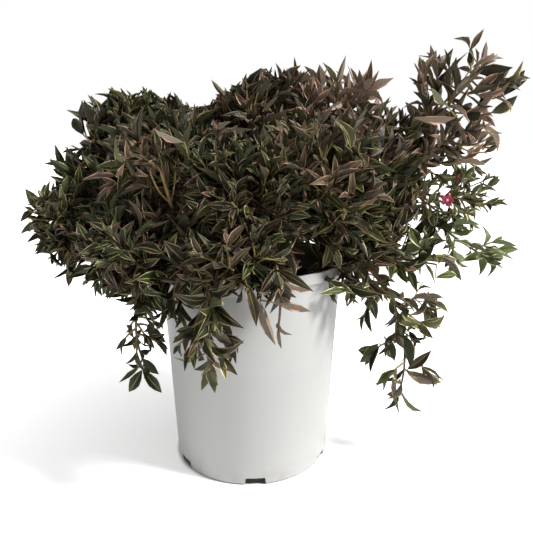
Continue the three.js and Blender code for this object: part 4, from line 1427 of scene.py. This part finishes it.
# %% Leaves that stand clear
clear_leaves = [
    ("arm_top", (0.245, -0.004, 0.480), (0.257, -0.012, 0.503), "umber", 0.9, 1),
    ("arm_top", (0.245, -0.004, 0.482), (0.226, -0.016, 0.495), "bronze", 1.1, 1),
    ("arm_top", (0.216, -0.006, 0.466), (0.185, -0.012, 0.475), "bronze", 0.7, 1),
    ("arm_top", (0.207, -0.006, 0.446), (0.185, -0.010, 0.466), "bronze", 0.9, 1),
    ("arm_top", (0.281, -0.004, 0.442), (0.317, -0.010, 0.454), "olive", 0.8, 1),
    ("arm_top", (0.237, -0.034, 0.458), (0.273, -0.040, 0.474), "dusky", 0.75, 1),
    ("arm_top", (0.210, -0.040, 0.420), (0.187, -0.050, 0.438), "olive", 1.9, -1),
    ("arm_top", (0.221, -0.044, 0.407), (0.176, -0.050, 0.409), "blush", 0.8, -1),
    ("arm_middle", (0.273, -0.010, 0.413), (0.300, -0.016, 0.431), "olive", 1.4, -1),
    ("arm_middle", (0.251, -0.036, 0.400), (0.279, -0.044, 0.371), "dusky", 1.1, 1),
    ("left_crown", (-0.184, 0.020, 0.404), (-0.212, 0.014, 0.418), "dark_green", 1.2, 1),
    ("left_tip", (-0.242, -0.014, 0.303), (-0.254, -0.018, 0.329), "olive", 1.5, 1),
    ("left_tip", (-0.246, -0.014, 0.306), (-0.266, -0.018, 0.292), "nightshade", 1.3, 1),
    ("left_tip", (-0.236, -0.014, 0.286), (-0.269, -0.020, 0.281), "dark_green", 1.0, 1),
    ("left_tip", (-0.202, -0.024, 0.262), (-0.211, -0.028, 0.226), "dark_green", 1.1, 1),
    ("left_tip", (-0.178, -0.030, 0.242), (-0.207, -0.034, 0.229), "dark_green", 1.5, 1),
    ("left_heart", (-0.061, -0.128, 0.381), (-0.091, -0.132, 0.392), "dusky", 0.85, -1),
    ("top_right", (0.099, -0.096, 0.374), (0.085, -0.108, 0.406), "olive", 1.1, 1),
    ("right_wing", (0.289, -0.012, 0.251), (0.319, -0.016, 0.257), "fresh", 1.3, 1),
    ("right_wing", (0.284, -0.012, 0.250), (0.247, -0.020, 0.242), "fresh", 0.95, 1),
    ("right_wing", (0.265, -0.012, 0.259), (0.237, -0.018, 0.270), "moss", 1.0, 1),
    ("right_spray", (0.214, -0.034, 0.227), (0.246, -0.030, 0.233), "moss", 1.2, 1),
    ("right_spray", (0.191, -0.044, 0.251), (0.233, -0.046, 0.249), "olive", 0.8, 1),
    ("right_spray", (0.177, -0.044, 0.246), (0.186, -0.052, 0.215), "dark_green", 1.2, 1),
    ("right_skirt", (0.104, -0.075, 0.224), (0.072, -0.095, 0.227), "moss", 0.9, 1),
    ("right_skirt", (0.104, -0.075, 0.223), (0.104, -0.078, 0.209), "umber", 1.5, 1),
    ("right_skirt", (0.110, -0.070, 0.225), (0.131, -0.066, 0.227), "moss", 1.3, 1),
    ("right_fall", (0.177, -0.034, 0.182), (0.203, -0.040, 0.163), "straw", 1.2, 1),
    ("right_fall", (0.207, -0.030, 0.198), (0.236, -0.034, 0.185), "moss", 0.9, 1),
    ("right_trailer", (0.176, -0.032, 0.114), (0.175, -0.034, 0.053), "dusky", 0.5, -1),
    ("right_trailer", (0.187, -0.032, 0.110), (0.233, -0.030, 0.093), "dusky", 1.0, -1),
    ("right_trailer", (0.188, -0.032, 0.112), (0.214, -0.036, 0.138), "bronze", 1.1, 1),
    ("right_trailer", (0.152, -0.032, 0.146), (0.130, -0.036, 0.124), "olive", 1.1, -1),
    ("front_skirt", (0.008, -0.152, 0.234), (0.020, -0.158, 0.191), "dusky", 0.9, -1),
    ("front_skirt", (-0.005, -0.150, 0.253), (0.005, -0.158, 0.211), "bronze", 0.8, 1),
    ("front_skirt", (0.025, -0.150, 0.232), (0.056, -0.152, 0.226), "blush", 1.0, -1),
    ("left_trailer", (-0.116, -0.102, 0.146), (-0.133, -0.106, 0.120), "dark_green", 1.4, 1),
    ("left_trailer", (-0.116, -0.102, 0.146), (-0.092, -0.106, 0.118), "dark_green", 1.1, 1),
    ("left_trailer", (-0.118, -0.102, 0.150), (-0.142, -0.104, 0.132), "olive", 0.7, 1),
]
towards_front = unit(np.array([0.15, -0.8, 0.55]))


def grow_clear_leaf(i, mass, root, tip, tone, width, side):
    """One leaf on a short stalk from the nearest twig of its mass."""
    near = [point for twig in twigs if twig.mass is mass for point in twig.line]
    start = min(near, key=lambda point: np.linalg.norm(point - root))
    Twig(mass, line_of(start, (start + root) / 2, root), (0.0008, 0.0006), 0, None)
    way = unit(tip - root)
    face = unit(towards_front - way * (towards_front @ way)) * side
    leaves.append(dict(root=root, way=way, face=face, length=np.linalg.norm(tip - root), age="grown",
                       form=i % len(leaf_forms["grown"]), tone=tone_names.index(tone), width=width, mass=mass))


for i, (name, root, tip, tone, width, side) in enumerate(clear_leaves):
    grow_clear_leaf(i, by_name[name], np.array(root), np.array(tip), tone, width, side)

# %% [markdown]
# ## Joining the crown
# All twigs are one piece. The leaves are a few pieces, one for each side of the crown, so that none is
# too large to handle. Each piece stands for the solids of its masses.


# %% Twig mesh
def tube_shape(rings, facets):
    """The faces of a tube: rings of quads, closed at both ends."""
    ring = np.arange(facets)
    quads = [
        np.column_stack([ring + i * facets, (ring + 1) % facets + i * facets,
                         (ring + 1) % facets + (i + 1) * facets, ring + (i + 1) * facets])
        for i in range(rings - 1)
    ]
    corners = np.concatenate([*[q.ravel() for q in quads], ring[::-1], ring + (rings - 1) * facets])
    sizes = np.array([4] * (facets * (rings - 1)) + [facets] * 2)
    return dict(corners=corners, sizes=sizes, slots=np.zeros(len(sizes), int), uv=np.zeros((len(corners), 2)))


def tube_points(twig, rings, facets):
    line = twig.line[np.linspace(0, line_steps, rings).round().astype(int)]
    way = np.gradient(line, axis=0)
    way /= np.linalg.norm(way, axis=1)[:, None]
    across = np.cross(way, np.eye(3)[np.argmin(np.abs(line[-1] - line[0]))])
    across /= np.linalg.norm(across, axis=1)[:, None]
    angle = 2 * math.pi * np.arange(facets) / facets
    ring = across[:, None] * np.cos(angle)[:, None] + np.cross(way, across)[:, None] * np.sin(angle)[:, None]
    radii = np.linspace(*twig.radii, rings)[:, None, None]
    return (line[:, None] + ring * radii).reshape(-1, 3)


def twigs_mesh():
    joined = Joined()
    for age, (rings, facets) in enumerate(((4, 4), (7, 5), (11, 7))):
        group = [twig for twig in twigs if twig.age == age]
        points = np.array([tube_points(twig, rings, facets) for twig in group])
        joined.add(tube_shape(rings, facets), points, [age] * len(group))
    return joined.mesh("twigs")


twig_finishes = [
    grained("young_twig", (0.30, 0.30, 0.08), (0.24, 0.18, 0.07), 0.6, 120, (0.2, 0.0003)),
    grained("shoot_bark", (0.30, 0.25, 0.09), (0.20, 0.13, 0.06), 0.7, 120, (0.3, 0.0004)),
    grained("stem_bark", (0.20, 0.13, 0.07), (0.08, 0.05, 0.03), 0.8, 120, (0.5, 0.0005)),
]
piece("twigs", twigs_mesh(), twig_finishes, [])


# %% Leaf meshes
def leaf_places(group, shape):
    """The points of every copy of a leaf shape."""
    way = np.array([leaf["way"] for leaf in group])
    face = np.array([leaf["face"] for leaf in group])
    length = np.array([leaf["length"] for leaf in group])[:, None]
    width = np.array([leaf["width"] for leaf in group])[:, None]
    across = np.cross(face, way)
    axes = np.stack([way * length, across * length * width, face * length], axis=1)
    root = np.array([leaf["root"] for leaf in group])
    return np.einsum("pk,nkj->npj", shape["points"], axes) + root[:, None]


def leaves_mesh(name, group):
    joined = Joined()
    for (age, form, width), shape in leaf_shapes.items():
        same = [
            leaf for leaf in group
            if (leaf["age"], leaf["form"], tones[tone_names[leaf["tone"]]][-1]) == (age, form, width)
        ]
        if same:
            joined.add(shape, leaf_places(same, shape), [leaf["tone"] * len(parts_of_leaf) for leaf in same])
    return joined.mesh(name, sharp=75)


sides = {
    "leaves_left": ["left_skirt", "left_tip", "left_crown"],
    "leaves_front": ["left_heart", "front_heart", "front_skirt", "left_trailer", "front_trailer", "middle_trailer"],
    "leaves_top": ["top_middle", "top_right", "right_heart"],
    "leaves_right": ["right_skirt", "right_spray", "right_fall", "right_trailer", "right_wing"],
    "leaves_arm": ["arm_base", "arm_middle", "arm_top", "arm_low"],
    "leaves_back_left": ["back_left_skirt", "back_left_top"],
    "leaves_back_right": ["back_right_skirt", "back_right_top", "back_middle"],
}
for side, names in sides.items():
    group = [leaf for leaf in leaves if leaf["mass"].name in names]
    piece(side, leaves_mesh(side, group), leaf_finishes, [f"foliage_{name}" for name in names])

# %% [markdown]
# ## The blossom
# One flower is open near the low end of the arm, with a bud beside it. The flower is a funnel that is
# spun from a profile. Its flared rim is then drawn in at five places, which makes five round lobes.

# %% Flower and bud
flower_place, flower_faces = Vector((0.221, -0.034, 0.317)), Vector((-0.25, -1.0, 0.15))
bud_place, bud_points = Vector((0.233, -0.028, 0.341)), Vector((0.1, -0.3, 1.0))
throat_radius = 0.0030
lobe_notch = 0.38  # how far the rim is drawn in between two lobes
funnel = [(0.0007, -0.0150), (0.0010, -0.0110), (0.0014, -0.0060), (0.0022, -0.0025), (throat_radius, -0.0006),
          (0.0039, 0.0003), (0.0051, 0.0007), (0.0062, 0.0005), (0.0069, -0.0004)]
bud_profile = [(0.0, -0.0060), (0.0007, -0.0056), (0.0009, -0.0020), (0.0018, 0.0010), (0.0023, 0.0032),
               (0.0018, 0.0052), (0.0, 0.0064)]


def turned(place, direction):
    return Matrix.Translation(place) @ direction.to_track_quat("Z", "Y").to_matrix().to_4x4()


def corolla():
    bm = spun(funnel, 60)
    for v in bm.verts:
        radius = v.co.xy.length
        flare = max(0.0, (radius - throat_radius) / (funnel[-1][0] - throat_radius))
        bearing = math.atan2(v.co.y, v.co.x)
        v.co.xy *= 1 - lobe_notch * flare * (1 - abs(math.cos(2.5 * bearing))) ** 1.6
        v.co.z += 0.0009 * flare * math.cos(5 * bearing)
    for face in bm.faces:
        face.material_index = int(face.calc_center_median().xy.length < throat_radius)
    bmesh.ops.solidify(bm, geom=bm.faces[:], thickness=0.0002)
    return bm


def add_stamens(bm):
    """Five stamens round a longer style, each a thin stalk with a pale head."""
    for i in range(6):
        bearing = i * 2 * math.pi / 5
        out = 0.0010 if i < 5 else 0.0
        high = 0.0016 if i < 5 else 0.0030
        foot = Matrix.Translation((out * math.cos(bearing), out * math.sin(bearing), high - 0.004))
        stalk = bmesh.ops.create_cone(bm, cap_ends=True, segments=6, radius1=0.00022, radius2=0.00018,
                                      depth=0.008, matrix=foot)["verts"]
        head = bmesh.ops.create_uvsphere(bm, u_segments=10, v_segments=6, radius=0.0007,
                                         matrix=foot @ Matrix.Translation((0, 0, 0.004)))["verts"]
        for face in {face for v in stalk + head for face in v.link_faces}:
            face.material_index = 2


def add_calyx(bm, base):
    """Five narrow sepals round the foot of a flower or bud."""
    for i in range(5):
        turn = Matrix.Rotation(i * 2 * math.pi / 5, 4, "Z") @ Matrix.Translation((0.0010, 0, base + 0.0022))
        made = bmesh.ops.create_cone(bm, cap_ends=True, segments=5, radius1=0.0006, radius2=0.00008,
                                     depth=0.0052, matrix=turn @ Matrix.Rotation(0.22, 4, "Y"))["verts"]
        for face in {face for v in made for face in v.link_faces}:
            face.material_index = 3


def add_stalk(bm, base):
    """A thin green stalk from a twig of the arm to the foot of the flower or bud."""
    near = [point for twig in twigs if twig.mass.name == "arm_low" for point in twig.line]
    root = min(near, key=lambda point: np.linalg.norm(point - base))
    before = set(bm.verts)
    grow_limb(bm, line_of(root, (root + np.array(base)) / 2 - up * 0.002, base), lambda share: 0.0006, 8, 8)
    for face in {face for v in set(bm.verts) - before for face in v.link_faces}:
        face.material_index = 3


def blossom_mesh():
    whole = bmesh.new()
    for shape, place, direction, base in (
        (corolla(), flower_place, flower_faces, -0.0150),
        (spun(bud_profile, 24), bud_place, bud_points, -0.0060),
    ):
        if base < -0.01:
            add_stamens(shape)
        else:
            for face in shape.faces:
                face.material_index = 4
        add_calyx(shape, base)
        there = turned(place, direction)
        bmesh.ops.transform(shape, matrix=there, verts=shape.verts)
        add_stalk(shape, there @ Vector((0, 0, base)))
        part = bpy.data.meshes.new("part")
        shape.to_mesh(part)
        shape.free()
        whole.from_mesh(part)
        bpy.data.meshes.remove(part)
    return mesh_from("blossom", whole, sharp=60)


blossom_finishes = [
    grained("petal", (0.54, 0.036, 0.115), (0.42, 0.024, 0.085), 0.55, 900, (0.2, 0.0001)),
    grained("throat", (0.78, 0.42, 0.44), (0.66, 0.24, 0.30), 0.55, 900, (0.2, 0.0001)),
    grained("stamen", (0.86, 0.80, 0.56), (0.78, 0.70, 0.45), 0.6, 900, (0.2, 0.0001)),
    grained("calyx", (0.12, 0.13, 0.035), (0.16, 0.07, 0.04), 0.6, 600, (0.2, 0.0001)),
    grained("bud", (0.26, 0.022, 0.060), (0.17, 0.014, 0.038), 0.5, 700, (0.2, 0.0001)),
]
piece("blossom", blossom_mesh(), blossom_finishes, [])
